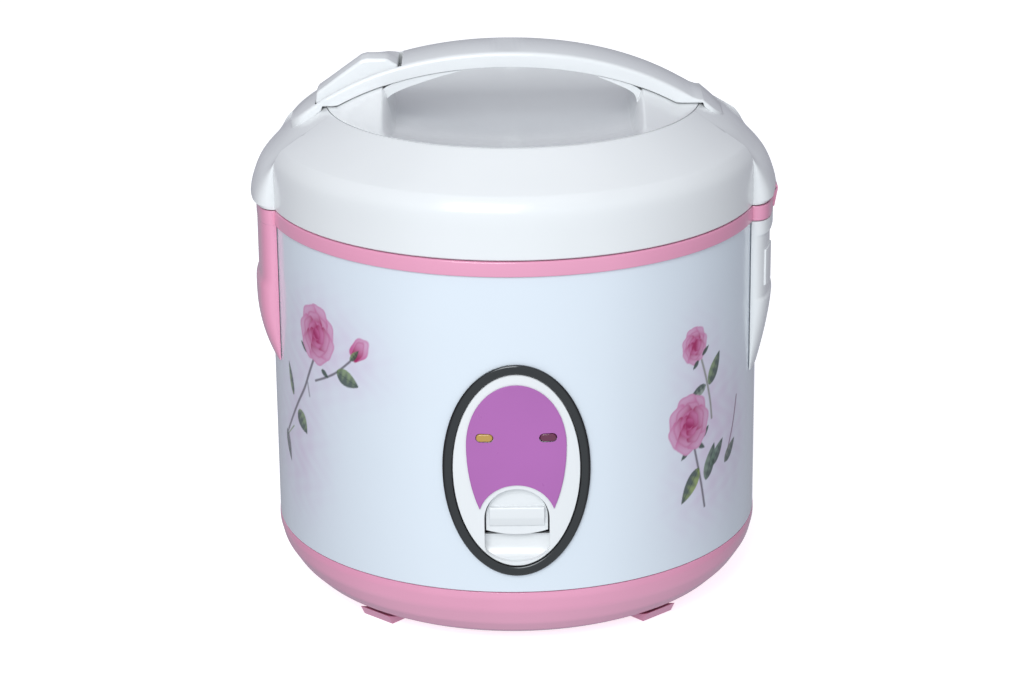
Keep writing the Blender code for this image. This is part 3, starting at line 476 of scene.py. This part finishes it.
class Print:
    """A drawing in (u, z) on the shell, u in millimetres round from the front's middle."""

    def __init__(self, u, z):
        self.u, self.z = u, z
        self.colour = np.ones(u.shape + (3,))

    def lay(self, cover, colour):
        """Put a colour over the drawing, as far as cover says."""
        colour = np.asarray(colour, float)
        cover = np.clip(cover, 0, 1)[..., None]
        self.colour = self.colour * (1 - cover) + colour * cover

    def haze(self, centre, size, strength, colour=(0.90, 0.62, 0.80)):
        """A soft cloud of colour."""
        d = np.hypot((self.u - centre[0]) / size[0], (self.z - centre[1]) / size[1])
        waves = np.sin(self.u * 0.41 + 2 * np.sin(self.z * 0.23)) * np.sin(self.z * 0.37 + self.u * 0.11)
        swirl = 0.75 + 0.25 * waves
        self.lay(strength * np.exp(-(d ** 2)) * swirl, colour)

    def stroke(self, points, width, colour=STEM, strength=0.9):
        """A line through points."""
        path = np.asarray(smooth(points, 8))
        best = np.full(self.u.shape, 1e9)
        for a, b in zip(path[:-1], path[1:]):
            step = b - a
            along = (self.u - a[0]) * step[0] + (self.z - a[1]) * step[1]
            t = np.clip(along / max(step @ step, 1e-9), 0, 1)
            best = np.minimum(best, np.hypot(self.u - a[0] - t * step[0], self.z - a[1] - t * step[1]))
        self.lay(strength * smoothstep(width / 2 + 0.35, width / 2 - 0.25, best), colour)

    def leaf(self, base, tip, width, light=LEAF_LIGHT, dark=LEAF_DARK):
        """A pointed leaf with a light side, a dark side and a middle vein."""
        base, tip = np.asarray(base, float), np.asarray(tip, float)
        along = tip - base
        length = np.linalg.norm(along)
        along /= length
        s = ((self.u - base[0]) * along[0] + (self.z - base[1]) * along[1]) / length
        side = (self.u - base[0]) * -along[1] + (self.z - base[1]) * along[0]
        half = width / 2 * np.sin(np.pi * np.clip(s, 0, 1) ** 0.75) ** 0.8
        inside = smoothstep(0.3, -0.3, np.abs(side) - half) * (s > 0) * (s < 1)
        veins = 0.35 * np.sin(s * 26)
        shade = smoothstep(-0.6, 0.9, side / (width / 2) + veins) * (1 - 0.75 * smoothstep(0.6, 1, s))
        tone = np.asarray(dark) + shade[..., None] * (np.asarray(light) - np.asarray(dark))
        self.lay(inside * 0.92, tone)
        self.lay(inside * smoothstep(0.45, 0.1, np.abs(side)) * 0.5, dark)

    def petal(self, centre, size, turn, deep, pale, soft=0.35):
        """One petal: deep at its root and pale at its lip, with a thin dark fold under the lip."""
        c, s = np.cos(turn), np.sin(turn)
        x = ((self.u - centre[0]) * c + (self.z - centre[1]) * s) / size[0]
        y = (-(self.u - centre[0]) * s + (self.z - centre[1]) * c) / size[1]
        r = np.hypot(x, y) * (1 + 0.06 * np.sin(5 * np.arctan2(y, x) + turn * 3))
        inside = smoothstep(1 + soft / size[0], 1 - soft / size[0], r)
        t = smoothstep(-0.7, 0.9, y)
        tone = np.asarray(deep) + t[..., None] * (np.asarray(pale) - np.asarray(deep))
        self.lay(inside, tone)
        self.lay(inside * smoothstep(0.72, 0.97, r) * 0.35, deep)

    def rose(self, centre, size, tilt=0.0, full=True):
        """Rings of petals, the inner ones over the outer ones."""
        centre = np.asarray(centre, float)
        rings = ((0.62, 0.50, 7, ROSE_MID, ROSE_PALE), (0.42, 0.42, 6, ROSE_DEEP, (0.88, 0.38, 0.58)),
                 (0.20, 0.32, 5, ROSE_DEEP, (0.82, 0.24, 0.46)),
                 (0.04, 0.20, 3, (0.50, 0.02, 0.14), ROSE_MID))
        for k, (far, big, count, deep, pale) in enumerate(rings if full else rings[:3]):
            for i in range(count):
                angle = tilt + 2 * np.pi * (i + 0.37 * k) / count
                place = centre + size * far * np.array((0.86 * np.cos(angle), np.sin(angle)))
                self.petal(place, (size * big, size * big * 0.82), angle - np.pi / 2, deep, pale)

    def bud(self, base, tip, width):
        """A closed rose: two petals, with a leaf at its base."""
        base, tip = np.asarray(base, float), np.asarray(tip, float)
        middle = (base + tip) / 2
        along = tip - base
        length = np.linalg.norm(along)
        turn = np.arctan2(along[1], along[0]) - np.pi / 2
        self.petal(middle, (width / 2, length / 2), turn, ROSE_MID, ROSE_PALE)
        self.petal(middle - along * 0.08, (width * 0.30, length * 0.42), turn + 0.25,
                   ROSE_DEEP, (0.86, 0.35, 0.55))
        self.leaf(base - along * 0.12, base + along * 0.45, width * 0.34)


def at(azimuth, z):
    """Place on the shell, at an azimuth in degrees from the front's middle."""
    return np.radians(azimuth) * BODY_R, z


def paint(u, z):
    """Both bunches of roses; returns the colour to multiply the shell's own by."""
    p = Print(u, z)
    p.haze(at(-53, 150), (26, 26), 0.55)
    p.haze(at(-40, 146), (22, 18), 0.40)
    p.haze(at(-62, 108), (24, 38), 0.50)
    p.haze(at(-64, 78), (26, 26), 0.38)
    p.stroke([at(-53.5, 140), at(-55.5, 132), at(-58, 122), at(-61.5, 112), at(-66, 99), at(-68.5, 92)],
             1.5)
    p.stroke([at(-40.5, 146), at(-45, 138), at(-49, 133), at(-53, 129)], 1.1)
    p.stroke([at(-68.5, 90), at(-64.5, 97)], 0.7, LEAF_LIGHT)
    p.stroke([at(-56.5, 126), at(-55.8, 119)], 1.1, STEM, 0.6)
    p.leaf(at(-45, 138.5), at(-38.2, 133.5), 8.6)
    p.leaf(at(-61.5, 108), at(-57.5, 97.5), 9.0)
    p.leaf(at(-64, 114), at(-66.5, 131), 4.6)
    p.leaf(at(-69.5, 92), at(-67, 76), 5.6, STEM)
    p.leaf(at(-50.5, 136.5), at(-48, 133.2), 3.0, LEAF_DARK)
    p.leaf(at(-55.5, 142), at(-59, 146.5), 3.4, LEAF_DARK)
    p.rose(at(-52.2, 154), 15.5, 0.4)
    p.bud(at(-40, 147.6), at(-35.4, 158.6), 10.0)

    p.haze(at(47, 140), (18, 26), 0.42)
    p.haze(at(52, 108), (22, 26), 0.60)
    p.haze(at(48, 74), (24, 26), 0.48)
    p.haze(at(62, 92), (20, 34), 0.50)
    p.stroke([at(47.6, 141), at(49.4, 130), at(51.0, 117), at(51.6, 108)], 1.3, (0.36, 0.34, 0.28))
    p.stroke([at(45.3, 96), at(46.8, 84), at(48.0, 74), at(49.2, 62)], 1.4)
    p.stroke([at(63.4, 112), at(61.6, 98), at(58.8, 85)], 1.2, (0.34, 0.20, 0.26))
    p.leaf(at(50.4, 126.5), at(54.6, 142), 7.4)
    p.leaf(at(49.2, 127), at(43.6, 122.5), 5.4, (0.38, 0.42, 0.32))
    p.leaf(at(47.0, 84), at(41.2, 68), 8.4, (0.34, 0.42, 0.10))
    p.leaf(at(49.5, 76), at(52.8, 94), 8.0, (0.22, 0.30, 0.20))
    p.leaf(at(51.5, 82), at(56.5, 94), 6.4, (0.20, 0.28, 0.20))
    p.leaf(at(57.5, 80), at(62.5, 90), 6.0, (0.22, 0.24, 0.18))
    p.leaf(at(41, 99), at(38.4, 102), 3.0, LEAF_DARK)
    p.leaf(at(43.2, 95.5), at(41, 91.5), 3.0, LEAF_DARK)
    p.leaf(at(46.5, 97), at(49, 94), 3.0, LEAF_DARK)
    p.leaf(at(48, 99.5), at(50.5, 105), 3.0, LEAF_DARK)
    p.rose(at(43.6, 109.5), 15.5, 0.9)
    p.rose(at(45.2, 150), 9.8, 0.2, False)
    p.leaf(at(46.5, 141.5), at(44.6, 137.5), 2.6, LEAF_DARK)
    p.leaf(at(47.8, 143.5), at(50.2, 147.5), 2.4, LEAF_DARK)
    return p.colour


# ---------------------------------------------------------------- body

def base_piece():
    """The pink base, with the inlet's opening and three screw holes."""
    outline = [(125.2, 34.4), (125.3, 31), (123.4, 23.5), (117.6, 14.5), (110.6, 7.6), (103, 3.6),
               (93, 3.6), (93, 5), (80, 5), (80, 7), (102, 7), (114, 15.6), (121.6, 29), (121.6, 41),
               (123.3, 41), (123.3, 34.4)]
    radii = [0.3, 8, 14, 16, 14, 6, 0.3, 0.2, 0.3, 0.3, 6, 12, 8, 0.3, 0.3, 0.1]
    base = lathe("base_shell", fillet(outline, radii, 8), 192, sharp=50)
    cut(base, box("clear", (-13.4, 110, 37.2), (13.4, 130, 45)))
    for i in range(3):
        centre = [86.5 * f(np.radians(60 + 120 * i)) for f in (np.cos, np.sin)]
        cut(base, prism("hole", circle(1.9, 16, centre), 2, 10))
    return stand_for(base, "base_housing")


def shell_piece():
    """The printed sheet, meshed finely where the roses are."""
    fine = np.arange(-78, -29.9, 0.22)
    azimuths = np.concatenate((np.arange(-180, -78, 2.0), fine, np.arange(-29, 29.1, 1.0), -fine[::-1],
                               np.arange(80, 179, 2.0)))
    heights = np.concatenate(((SEAM_Z, 40, 46), np.arange(52, 186, 0.5), (190, 194, SHELL_TOP)))
    a, z = np.meshgrid(np.radians(azimuths), heights)
    colour = paint(a * BODY_R, z)
    columns, rows = len(azimuths), len(heights)
    outer = np.stack((BODY_R * np.sin(a), -BODY_R * np.cos(a), z), -1).reshape(-1, 3)
    inner_r = BODY_R - SHELL_T
    ends = np.radians(azimuths)
    low = np.stack((inner_r * np.sin(ends), -inner_r * np.cos(ends), np.full(columns, SEAM_Z)), -1)
    high = low + np.array((0, 0, SHELL_TOP - SEAM_Z))
    verts = np.concatenate((outer, low, high))
    index = np.arange(rows * columns).reshape(rows, columns)
    low_ring = rows * columns + np.arange(columns)
    loops = np.vstack((index, low_ring + columns, low_ring))
    faces = []
    for i in range(len(loops)):
        top, bottom = loops[(i + 1) % len(loops)], loops[i]
        faces += list(zip(bottom, np.roll(bottom, -1), np.roll(top, -1), top))
    mesh = bpy.data.meshes.new("shell_sheet")
    mesh.from_pydata((verts * MM).tolist(), [], [tuple(int(v) for v in f) for f in faces])
    layer = mesh.color_attributes.new("Print", "FLOAT_COLOR", "POINT")
    rgba = np.ones((len(verts), 4))
    rgba[:rows * columns, :3] = colour.reshape(-1, 3)
    layer.data.foreach_set("color", rgba.ravel())
    mesh.shade_smooth()
    mesh.set_sharp_from_angle(angle=np.radians(35))
    shell = bpy.data.objects.new("shell_sheet", mesh)
    bpy.context.scene.collection.objects.link(shell)
    mesh.materials.append(MATS["printed_shell"])
    cut(shell, prism("opening", ellipse(33, 51.6, 96), -135, -100, "y"))
    cut(shell, box("opening", (-13.4, 110, 37.2), (13.4, 135, 55)))
    return stand_for(shell, "outer_shell")


def collar_piece():
    """The pink collar, with the left ear, the catch slot and the hinge lugs."""
    low, high = COLLAR_Z
    sections = []
    for angle in ring_angles():
        right = abs((angle + 180) % 360 - 180) < 90
        out = COLLAR_R + (EAR_PROUD_RIGHT if right else EAR_PROUD_LEFT) * ear(angle)
        outline = [(out, low), (out, high), (COLLAR_BORE, high), (COLLAR_BORE, 203), (121.5, 203),
                   (121.5, 190), (123.3, 190), (123.3, low)]
        loop = fillet(outline, [0.5, 1.0, 1.4, 0.4, 0.3, 0.3, 0.3, 0.1], 4)
        sections.append([polar(r, angle, z) for r, z in loop])
    collar = loft("collar", sections, closed=True)

    def proud(z):
        fade = 1 - np.clip((160 - z) / 33, 0, 1) ** 2.2
        return (5.5 + 1.5 * smoothstep(170, 164, z)) * fade + 0.3

    levels = np.concatenate((np.linspace(LEFT_EAR_LOW, 133, 14), np.linspace(134.5, 200, 44)))
    side = ear_solid("side", -1, proud, levels, BODY_R + 0.4)
    cut(side, ear_solid("hollow", -1, lambda z: proud(z) - 2.4, (140, 145, 151, 160, 164, 170, 203), 120,
                         low=-13.8, high=13.8))
    join(collar, side)
    cut(collar, box("slot", (-130, -12.6, 198), (-121.2, 12.6, 208)))
    for sign in (-1, 1):
        turn = np.linspace(0, np.pi, 17)
        top = [(HINGE_X + BARREL_R * np.cos(t), HINGE_Z + BARREL_R * np.sin(t)) for t in turn]
        outline = [(HINGE_X - BARREL_R, low + 1), (HINGE_X + 0.4, low + 1), *top]
        near, far = sorted((sign * (BARREL_HALF + GAP), sign * LUG_OUT))
        lug = prism("lug", outline, near, far, "y")
        cut(lug, prism("hole", circle(PIN_R + GAP, 16, (HINGE_X, HINGE_Z)), near - 1, far + 1, "y"))
        join(collar, lug)
    return stand_for(collar, "top_collar")


def dew_piece():
    """The cup on the right side, hollow behind, with two raised pads."""
    def outer(z):
        full = 6.9 * (1 - np.clip((158 - z) / 39, 0, 1) ** 1.5) + 0.25
        return full - 1.4 * smoothstep(191.5, 189.5, z) * smoothstep(155.5, 157.5, z)

    levels = np.concatenate((np.linspace(RIGHT_EAR_LOW, 124, 10), np.linspace(125, 154, 24),
                             np.linspace(155, 160, 14), np.linspace(163, 188, 10),
                             np.linspace(189, 193, 14), (196, DEW_TOP)))
    cup = ear_solid("dew_cup", 1, outer, levels, BODY_R + 0.4)
    cut(cup, ear_solid("hollow", 1, lambda z: outer(z) - 1.6, (136, 146, 154, 159, 189, 192, 202),
                       BODY_R + 1.2, low=-12.6, high=12.6))
    for low, high in ((-14.8, -7.6), (7.6, 14.8)):
        join(cup, ear_solid("pad", 1, lambda z: outer(z) + 0.9, (163, 182), BODY_R + 5.6,
                            low=low, high=high))
    soften(cup, 0.35)
    return stand_for(cup, "dew_collector")


def panel_pieces():
    """The bezel, the plate with its dish, the label and the two lamp lenses."""
    section = []
    for t in np.linspace(0, np.pi, 15):
        section.append((-np.cos(t), 126.1 + 0.9 * np.sin(t) ** 0.8))
    section += [(1.0, 125.35), (-1.0, 125.35)]
    loops = []
    for t in np.linspace(0, 2 * np.pi, 180, endpoint=False):
        u, z = BEZEL_A * np.sin(t), BEZEL_B * np.cos(t)
        out = np.array((BEZEL_B * np.sin(t), BEZEL_A * np.cos(t)))
        out *= BEZEL_HALF / np.linalg.norm(out)
        loops.append([wrap(u + out[0] * s, PANEL_Z + z + out[1] * s, r) for s, r in section])
    stand_for(loft("bezel_ring", loops, closed=True, sharp=60), "panel_bezel")

    rings = list(np.linspace(0.12, 0.97, 10)) + [1.0]
    plate = wrapped_disc("panel_face", ellipse(PLATE_A, PLATE_B, 128), rings, PLATE_IN, PLATE_OUT)
    cut(plate, prism("window", window_outline(), -130, -115, "y"))
    scoop_side = [(-122.7, 49.6), (-119.4, 52.2), (-117.4, 57.5), (-116.6, 63.5), (-122.7, 63.5)]
    scoop = prism("scoop", scoop_side, -17.5, 17.5, "x")
    combine(scoop, prism("trim", ellipse(32.2, 50.8, 96), -125, -110, "y"), "INTERSECT")
    curve = [(-126 + 7.6 * np.sin(t), 65.4 - 14 * np.cos(t)) for t in np.radians(np.linspace(24, 80, 16))]
    cut(scoop, prism("dish", [(-124, 52.4), *curve, (-118.4, 70), (-124, 70)], -16, 16, "x"))
    join(plate, scoop)
    for x in (-LAMP_X, LAMP_X):
        cut(plate, prism("hole", slot_outline(x, LAMP_Z, *LAMP_HOLE), -130, -115, "y"))
    soften(plate, 0.45, 3)
    stand_for(plate, "panel_plate")

    turn = np.linspace(0, 2 * np.pi, 120, endpoint=False)
    egg = [(24.4 * np.sin(t), 112 + (32 if np.cos(t) > 0 else 49) * np.cos(t)) for t in turn]
    label = wrapped_disc("label_film", egg, rings, 126.25, 126.6)
    cut(label, prism("clear", circle(19.2, 96, (0, 73)), -130, -120, "y"))
    for x, name in ((-LAMP_X, "warm_lamp_lens"), (LAMP_X, "cook_lamp_lens")):
        cut(label, prism("hole", slot_outline(x, LAMP_Z, *LAMP_HOLE), -130, -120, "y"))
        lens = prism(name.replace("lamp_", ""), slot_outline(x, LAMP_Z, *LAMP_SIZE), -125.9, -120.5, "y")
        soften(lens, 0.8, 4)
        stand_for(lens, name)
    stand_for(label, "panel_label")


def key_piece():
    """The switch key, with a ledge for the thumb and a boss behind it."""
    half = 15.2
    crown = [(half * np.cos(t), 74 + half * np.sin(t)) for t in np.linspace(0, np.pi, 41)]
    lip = [(x, 64.6 + 2.4 * (x / half) ** 2) for x in np.linspace(-half, half, 21)]
    key = prism("switch_key", crown + lip, -122.2, -120.2, "y")
    ledge = [(-121.8, 79.4), (-124.7, 79.9), (-125.2, 79.2), (-124.7, 74), (-123.0, 69.6), (-121.8, 68.8)]
    ledge = fillet(ledge, [0.2, 0.8, 0.8, 4, 3, 0.2], 5)
    join(key, prism("ledge", ledge, -13.4, 13.4, "x"))
    join(key, box("boss", (-6, -120.8, 76), (6, -113.8, 84)))
    soften(key, 0.45, 3)
    return stand_for(key, "cook_key")


# ---------------------------------------------------------------- lid

def between(start, end, share):
    """Outline part of the way from one to another."""
    return [(a[0] + (b[0] - a[0]) * share, a[1] + (b[1] - a[1]) * share) for a, b in zip(start, end)]


def lid_piece():
    """The lid's dome, which widens at the side ears and carries the hinge barrel."""
    plain = [(125.6, 206.9), (126.2, 207.5), (126.2, 217), (126.2, 226.7), (125.2, 231.8), (122.1, 236.6),
             (119.6, 238.6), (112, 243.4), (103.5, 248.7), (95.6, 253.6)]
    flared = [(132.5, 207.1), (134.5, 209.3), (133.7, 214), (131.0, 221.5), (127.9, 226.5), (123.4, 231.4),
              (119.0, 236), (112, 242.7), (103.5, 248.6), (95.6, 253.5)]
    inside = [(95.3, 253.7), (95.3, 251.6), (118.6, 237), (124.4, 227), (124.4, 206.9)]
    inside_flared = [(95.3, 253.7), (95.3, 251.6), (117, 235.4), (127.6, 222), (132.2, 207.1)]
    sections = []
    for angle in ring_angles():
        outer = between(plain, flared, ear(angle))
        inner = between(inside, inside_flared, ear(angle))
        sections.append([polar(r, angle, z) for r, z in outer[:1] + smooth(outer[1:], 5) + inner])
    shell = loft("lid_dome", sections, closed=True, sharp=45)
    for sign in (-1, 1):
        near, far = sorted((sign * (BARREL_HALF + 0.1), sign * (LUG_OUT + 0.2)))
        cut(shell, box("notch", (HINGE_X - 3.4, near, 205), (HINGE_X + 6, far, HINGE_Z + 2.9)))
    join(shell, prism("barrel", circle(BARREL_R, 32, (HINGE_X, HINGE_Z)), -BARREL_HALF, BARREL_HALF, "y"))
    cut(shell, prism("hole", circle(PIN_R + GAP, 20, (HINGE_X, HINGE_Z)), -30, 30, "y"))
    return stand_for(shell, "lid_shell")


def web_outlines():
    """The rounded upper corners of the finger opening, seen from the front."""
    right = [(x, arch_bottom(x) - GAP) for x in np.linspace(43, 60, 9)]
    right += [(62.8, arch_bottom(62.8) - 0.9), (66.5, arch_bottom(66.5) - 2.5), (66.5, 256)]
    right += smooth([(62.6, 254.6), (62.2, 257), (60.8, 259.6), (56.8, 262.2), (50, 265.3),
                     (43, arch_bottom(43) - 0.8)], 6)
    left = [(x, arch_bottom(x) - GAP) for x in np.linspace(-26, -60, 15)]
    left += [(-63.5, arch_bottom(-63.5) - 0.9), (-67, arch_bottom(-67) - 2.5), (-67, 256)]
    left += smooth([(-64.4, 254.6), (-63.9, 257), (-61, 260), (-53.4, 263.6), (-37.7, 268.9),
                    (-26, arch_bottom(-26) - 0.7)], 6)
    return right, left


def insert_piece():
    """The sunk round plate, with the upper corners of the finger opening."""
    radius = RIM_R - 0.12
    xs = np.concatenate((np.linspace(0, 55, 16), np.linspace(57, 68, 20),
                         np.linspace(69, 93.5, 16), (94.4,)))
    xs = np.concatenate((-xs[:0:-1], xs))
    ts = np.linspace(-1, 1, 61)
    sections = []
    for x in xs:
        ys = ts * np.sqrt(radius ** 2 - x ** 2)
        over = [(x, y, insert_top(x, y)) for y in ys]
        sections.append(over + [(a, b, h - INSERT_WALL) for a, b, h in reversed(over)])
    insert = loft("lid_bowl", sections, sharp=55)
    for web in web_outlines():
        join(insert, prism("web", web, -15.9, 15.9, "y"))
    cut(insert, prism("hole", circle(6.2, 48, VENT_XY), 230, 265))
    return stand_for(insert, "lid_insert")


def floor_at(x, y):
    """Height of the handle's lower face, which clears the lid and the insert."""
    lid = RIM_Z if abs(x) < RIM_R + 1 else lid_surface(x, y)
    return max(arch_bottom(x), lid_surface(x, y) + 0.5, lid + 0.5 if abs(x) > 88 else 0)


def handle_piece():
    """The arch, hollow inside, with the release button's window."""
    left, right = ARCH_MID - HANDLE_END, ARCH_MID + HANDLE_END
    stops = np.concatenate((np.linspace(left, -96.8, 15), np.linspace(-95.9, 95.9, 72),
                            np.linspace(96.8, right, 12)))
    sections = []
    for x in stops:
        past = (abs(x - ARCH_MID) - HANDLE_TAPER_FROM) / (HANDLE_END - HANDLE_TAPER_FROM)
        half = HANDLE_HALF - HANDLE_TAPER * np.clip(past, 0, 1) ** 3
        top = arch_top(x)
        low = min(floor_at(x, half), top - 0.4)
        corner = min(2.6, 0.45 * (top - low))
        outline = fillet([(half, low), (half, top), (-half, top), (-half, low)],
                         [0.4, corner, corner, 0.4], 7)
        crown = [(x, y, z + 0.5 * (1 - (y / half) ** 2) * (z > top - 0.01)) for y, z in outline]
        crown = [(x, y, min(z, HANDLE_TOP)) for x, y, z in crown]
        under = [(x, y, floor_at(x, y)) for y in np.linspace(-half, half, 9)[1:-1]]
        sections.append(crown + under)
    cover = loft("handle_arch", sections, sharp=45)
    inner = HANDLE_HALF - HANDLE_WALL
    room = []
    for x in np.linspace(-88, 86, 59):
        top, low = arch_top(x) - HANDLE_WALL, arch_bottom(x) - 3
        room.append([(x, -inner, low), (x, inner, low), (x, inner, top - 1), (x, inner - 1, top),
                     (x, 1 - inner, top), (x, -inner, top - 1)])
    cut(cover, loft("room", room))
    window = [(-99.7, 251), (-99.7, 290), (-55.6, 290), (-55.6, 268.5), (-70, 264), (-86, 257)]
    cut(cover, prism("window", window, -BUTTON_HALF - 0.5, BUTTON_HALF + 0.5, "y"))
    return stand_for(cover, "handle_cover")


def underside_piece():
    """The strip that closes the arch from below."""
    strip = []
    for x in np.linspace(-84, 80, 61):
        z = arch_bottom(x)
        outline = fillet([(-14.3, z), (14.3, z), (14.3, z + 1.6), (-14.3, z + 1.6)], 0.5, 4)
        strip.append([(x, y, h) for y, h in outline])
    return stand_for(loft("grip_strip", strip), "handle_underside")


def button_piece():
    """Long sloping thumb face, crowned so that its top falls away to the back."""
    side = np.asarray(fillet(BUTTON_SIDE, [0.6, 2.5, 40, 4, 3, 4, 1.5, 0.8, 20, 20, 0.6], 6))
    middle = side.mean(axis=0)
    over = np.array([max(z - arch_top(x), 0) for x, z in side])
    ys, falls = zip(*BUTTON_FALL)
    ends = BUTTON_ROUND * (1 - np.cos(np.linspace(0, np.pi / 2, 6)))
    reach = BUTTON_HALF - ends[::-1]
    sections = []
    for y in np.concatenate((-reach[::-1], np.linspace(-13, 13, 14), reach)):
        deep = max(abs(y) - BUTTON_HALF + BUTTON_ROUND, 0)
        inset = BUTTON_ROUND - np.sqrt(max(BUTTON_ROUND ** 2 - deep ** 2, 0))
        loop = side - np.outer(over, (0, 1)) * np.interp(y, ys, falls)
        loop = loop + (middle - loop) * (inset / np.linalg.norm(middle - loop, axis=1))[:, None]
        sections.append([(a, y, b) for a, b in loop])
    return stand_for(loft("press_button", sections, sharp=50), "release_button")


def vent_piece():
    """The steam vent's cap, with three slots."""
    profile = fillet([(4.6, 247.9), (5.7, 247.9), (5.7, 252.4), (5.1, 253.1), (0.01, 253.4), (0.01, 251.9),
                      (4.6, 251.6)], [0.3, 0.3, 0.4, 0.4, 0, 0, 0.3], 5)
    cap = lathe("vent_cap", profile, 64, VENT_XY)
    for i in range(3):
        cut(cap, prism("slot", slot_outline(VENT_XY[0], VENT_XY[1] - 2.4 + 2.4 * i, 6, 1.1), 250, 258))
    return stand_for(cap, "steam_vent_cap")


def inner_pieces():
    """What shows when the lid is open."""
    pot = [(0.01, 72.4), (86, 72.4), (96, 76.4), (100, 86), (100, 203.4), (108.5, 203.4), (108.5, 204.7),
           (100.2, 204.7), (98.5, 202.6), (98.5, 86.5), (94.8, 77.7), (85.6, 73.9), (0.01, 73.9)]
    pot = fillet(pot, [0, 6, 8, 10, 0.3, 0.4, 0.5, 1.5, 1.5, 10, 8, 6, 0], 7)
    stand_for(lathe("cooking_pot", pot, sharp=50), "inner_pot")
    chamber = [(120.5, 202), (108.8, 202), (108.8, 59.2), (93, 59.2), (93, 60), (108, 60), (108, 202.7),
               (120.5, 202.7)]
    chamber = fillet(chamber, [0.2, 1, 3, 0.2, 0.2, 2, 1, 0.2], 5)
    stand_for(lathe("chamber_sheet", chamber), "inner_chamber")
    plate = [(3.4, 206.1), (60, 206.1), (62, 205.7), (64, 206.1), (88, 206.1), (98.6, 205.4),
             (98.6, 206.2), (88, 206.9), (3.4, 206.9)]
    cover = lathe("inner_cover", fillet(plate, [0.2, 1, 1, 1, 3, 0.3, 0.3, 3, 0.2], 4), 128)
    cut(cover, prism("hole", circle(4.7, 48, VENT_XY), 200, 210))
    stand_for(cover, "inner_lid_plate")
    seal = [(99.0, 205.0), (101.5, 205.0), (102.2, 205.7), (103.0, 205.0), (105.8, 205.0),
            (105.8, 207.4), (99.0, 207.4)]
    stand_for(lathe("seal_ring", fillet(seal, 0.4, 4)), "lid_gasket")


def dress_cad():
    """Node-based materials for the CAD nodes."""
    for name, obj in NODES.items():
        obj.data.materials.clear()
        obj.data.materials.append(MATS[SLOT_OF[name]])


# ---------------------------------------------------------------- stage

def area_light(name, place, aim, size, power, colour):
    """Square lamp that faces the point it is aimed at."""
    data = bpy.data.lights.new(name, "AREA")
    data.energy = power
    data.color = colour
    data.size = size
    light = bpy.data.objects.new(name, data)
    bpy.context.scene.collection.objects.link(light)
    light.location = place
    direction = np.asarray(aim, float) - np.asarray(place, float)
    light.rotation_euler = Vector(direction).to_track_quat("-Z", "Y").to_euler()


def stage():
    """Pale floor, world light, two lamps and the camera."""
    scene = bpy.context.scene
    corners = [(x * FLOOR_HALF, y * FLOOR_HALF, 0) for x, y in ((-1, -1), (1, -1), (1, 1), (-1, 1))]
    floor = make("floor", corners, [(0, 1, 2, 3)])
    floor.data.materials.append(surface("pale_floor", (0.92, 0.92, 0.92), 0.8, vary=0.01, bump=0.0))
    glow = floor.data.materials[0].node_tree.nodes["Principled BSDF"]
    glow.inputs["Emission Color"].default_value = (1, 1, 1, 1)
    glow.inputs["Emission Strength"].default_value = 0.62
    floor.visible_diffuse = False
    floor.visible_glossy = False
    world = bpy.data.worlds.new("studio")
    scene.world = world
    world.use_nodes = True
    tree = world.node_tree
    back = tree.nodes["Background"]
    place = tree.nodes.new("ShaderNodeTexCoord")
    split = tree.nodes.new("ShaderNodeSeparateXYZ")
    side = node(tree, "ShaderNodeMath", operation="ABSOLUTE")
    shade = ramp(tree, side.outputs[0], (0.90, 0.95, 1.0), (0.30, 0.28, 0.32), 0.62, 0.92)
    dim = ramp(tree, split.outputs["Z"], (1, 1, 1), (0.42, 0.41, 0.43), 0.50, 0.95)
    behind = ramp(tree, split.outputs["Y"], (1, 1, 1), (0.46, 0.44, 0.48), 0.05, 0.60)
    tree.links.new(place.outputs["Generated"], split.inputs[0])
    tree.links.new(split.outputs["X"], side.inputs[0])
    mixed = shade.outputs["Color"]
    for layer in (dim, behind):
        product = node(tree, "ShaderNodeMix", data_type="RGBA", blend_type="MULTIPLY")
        product.inputs[0].default_value = 1.0
        tree.links.new(mixed, product.inputs[6])
        tree.links.new(layer.outputs["Color"], product.inputs[7])
        mixed = product.outputs[2]
    tree.links.new(mixed, back.inputs["Color"])
    back.inputs["Strength"].default_value = 0.90
    area_light("overhead", (0.0, -0.35, 1.5), (0, 0, 0.1), 1.5, 3, (1.0, 0.99, 0.98))
    area_light("front_left", (-0.5, -1.9, 1.5), (0, 0, 0.15), 1.2, 27, (0.97, 0.99, 1.0))

    camera = bpy.data.cameras.new("camera")
    camera.sensor_width = 36.0
    camera.lens = CAMERA_LENS
    camera.shift_x = CAMERA_SHIFT
    view = bpy.data.objects.new("camera", camera)
    scene.collection.objects.link(view)
    tilt = Matrix.Rotation(np.radians(90 - CAMERA_DOWN), 4, "X")
    roll = Matrix.Rotation(np.radians(CAMERA_ROLL), 4, "Z")
    view.matrix_world = Matrix.Translation(CAMERA_PLACE) @ tilt @ roll
    scene.camera = view
    scene.view_settings.view_transform = "Standard"


def main():
    dress_cad()
    base_piece()
    shell_piece()
    collar_piece()
    dew_piece()
    panel_pieces()
    key_piece()
    lid_piece()
    insert_piece()
    handle_piece()
    underside_piece()
    button_piece()
    vent_piece()
    inner_pieces()
    stage()


main()
bpy.context.view_layer.update()
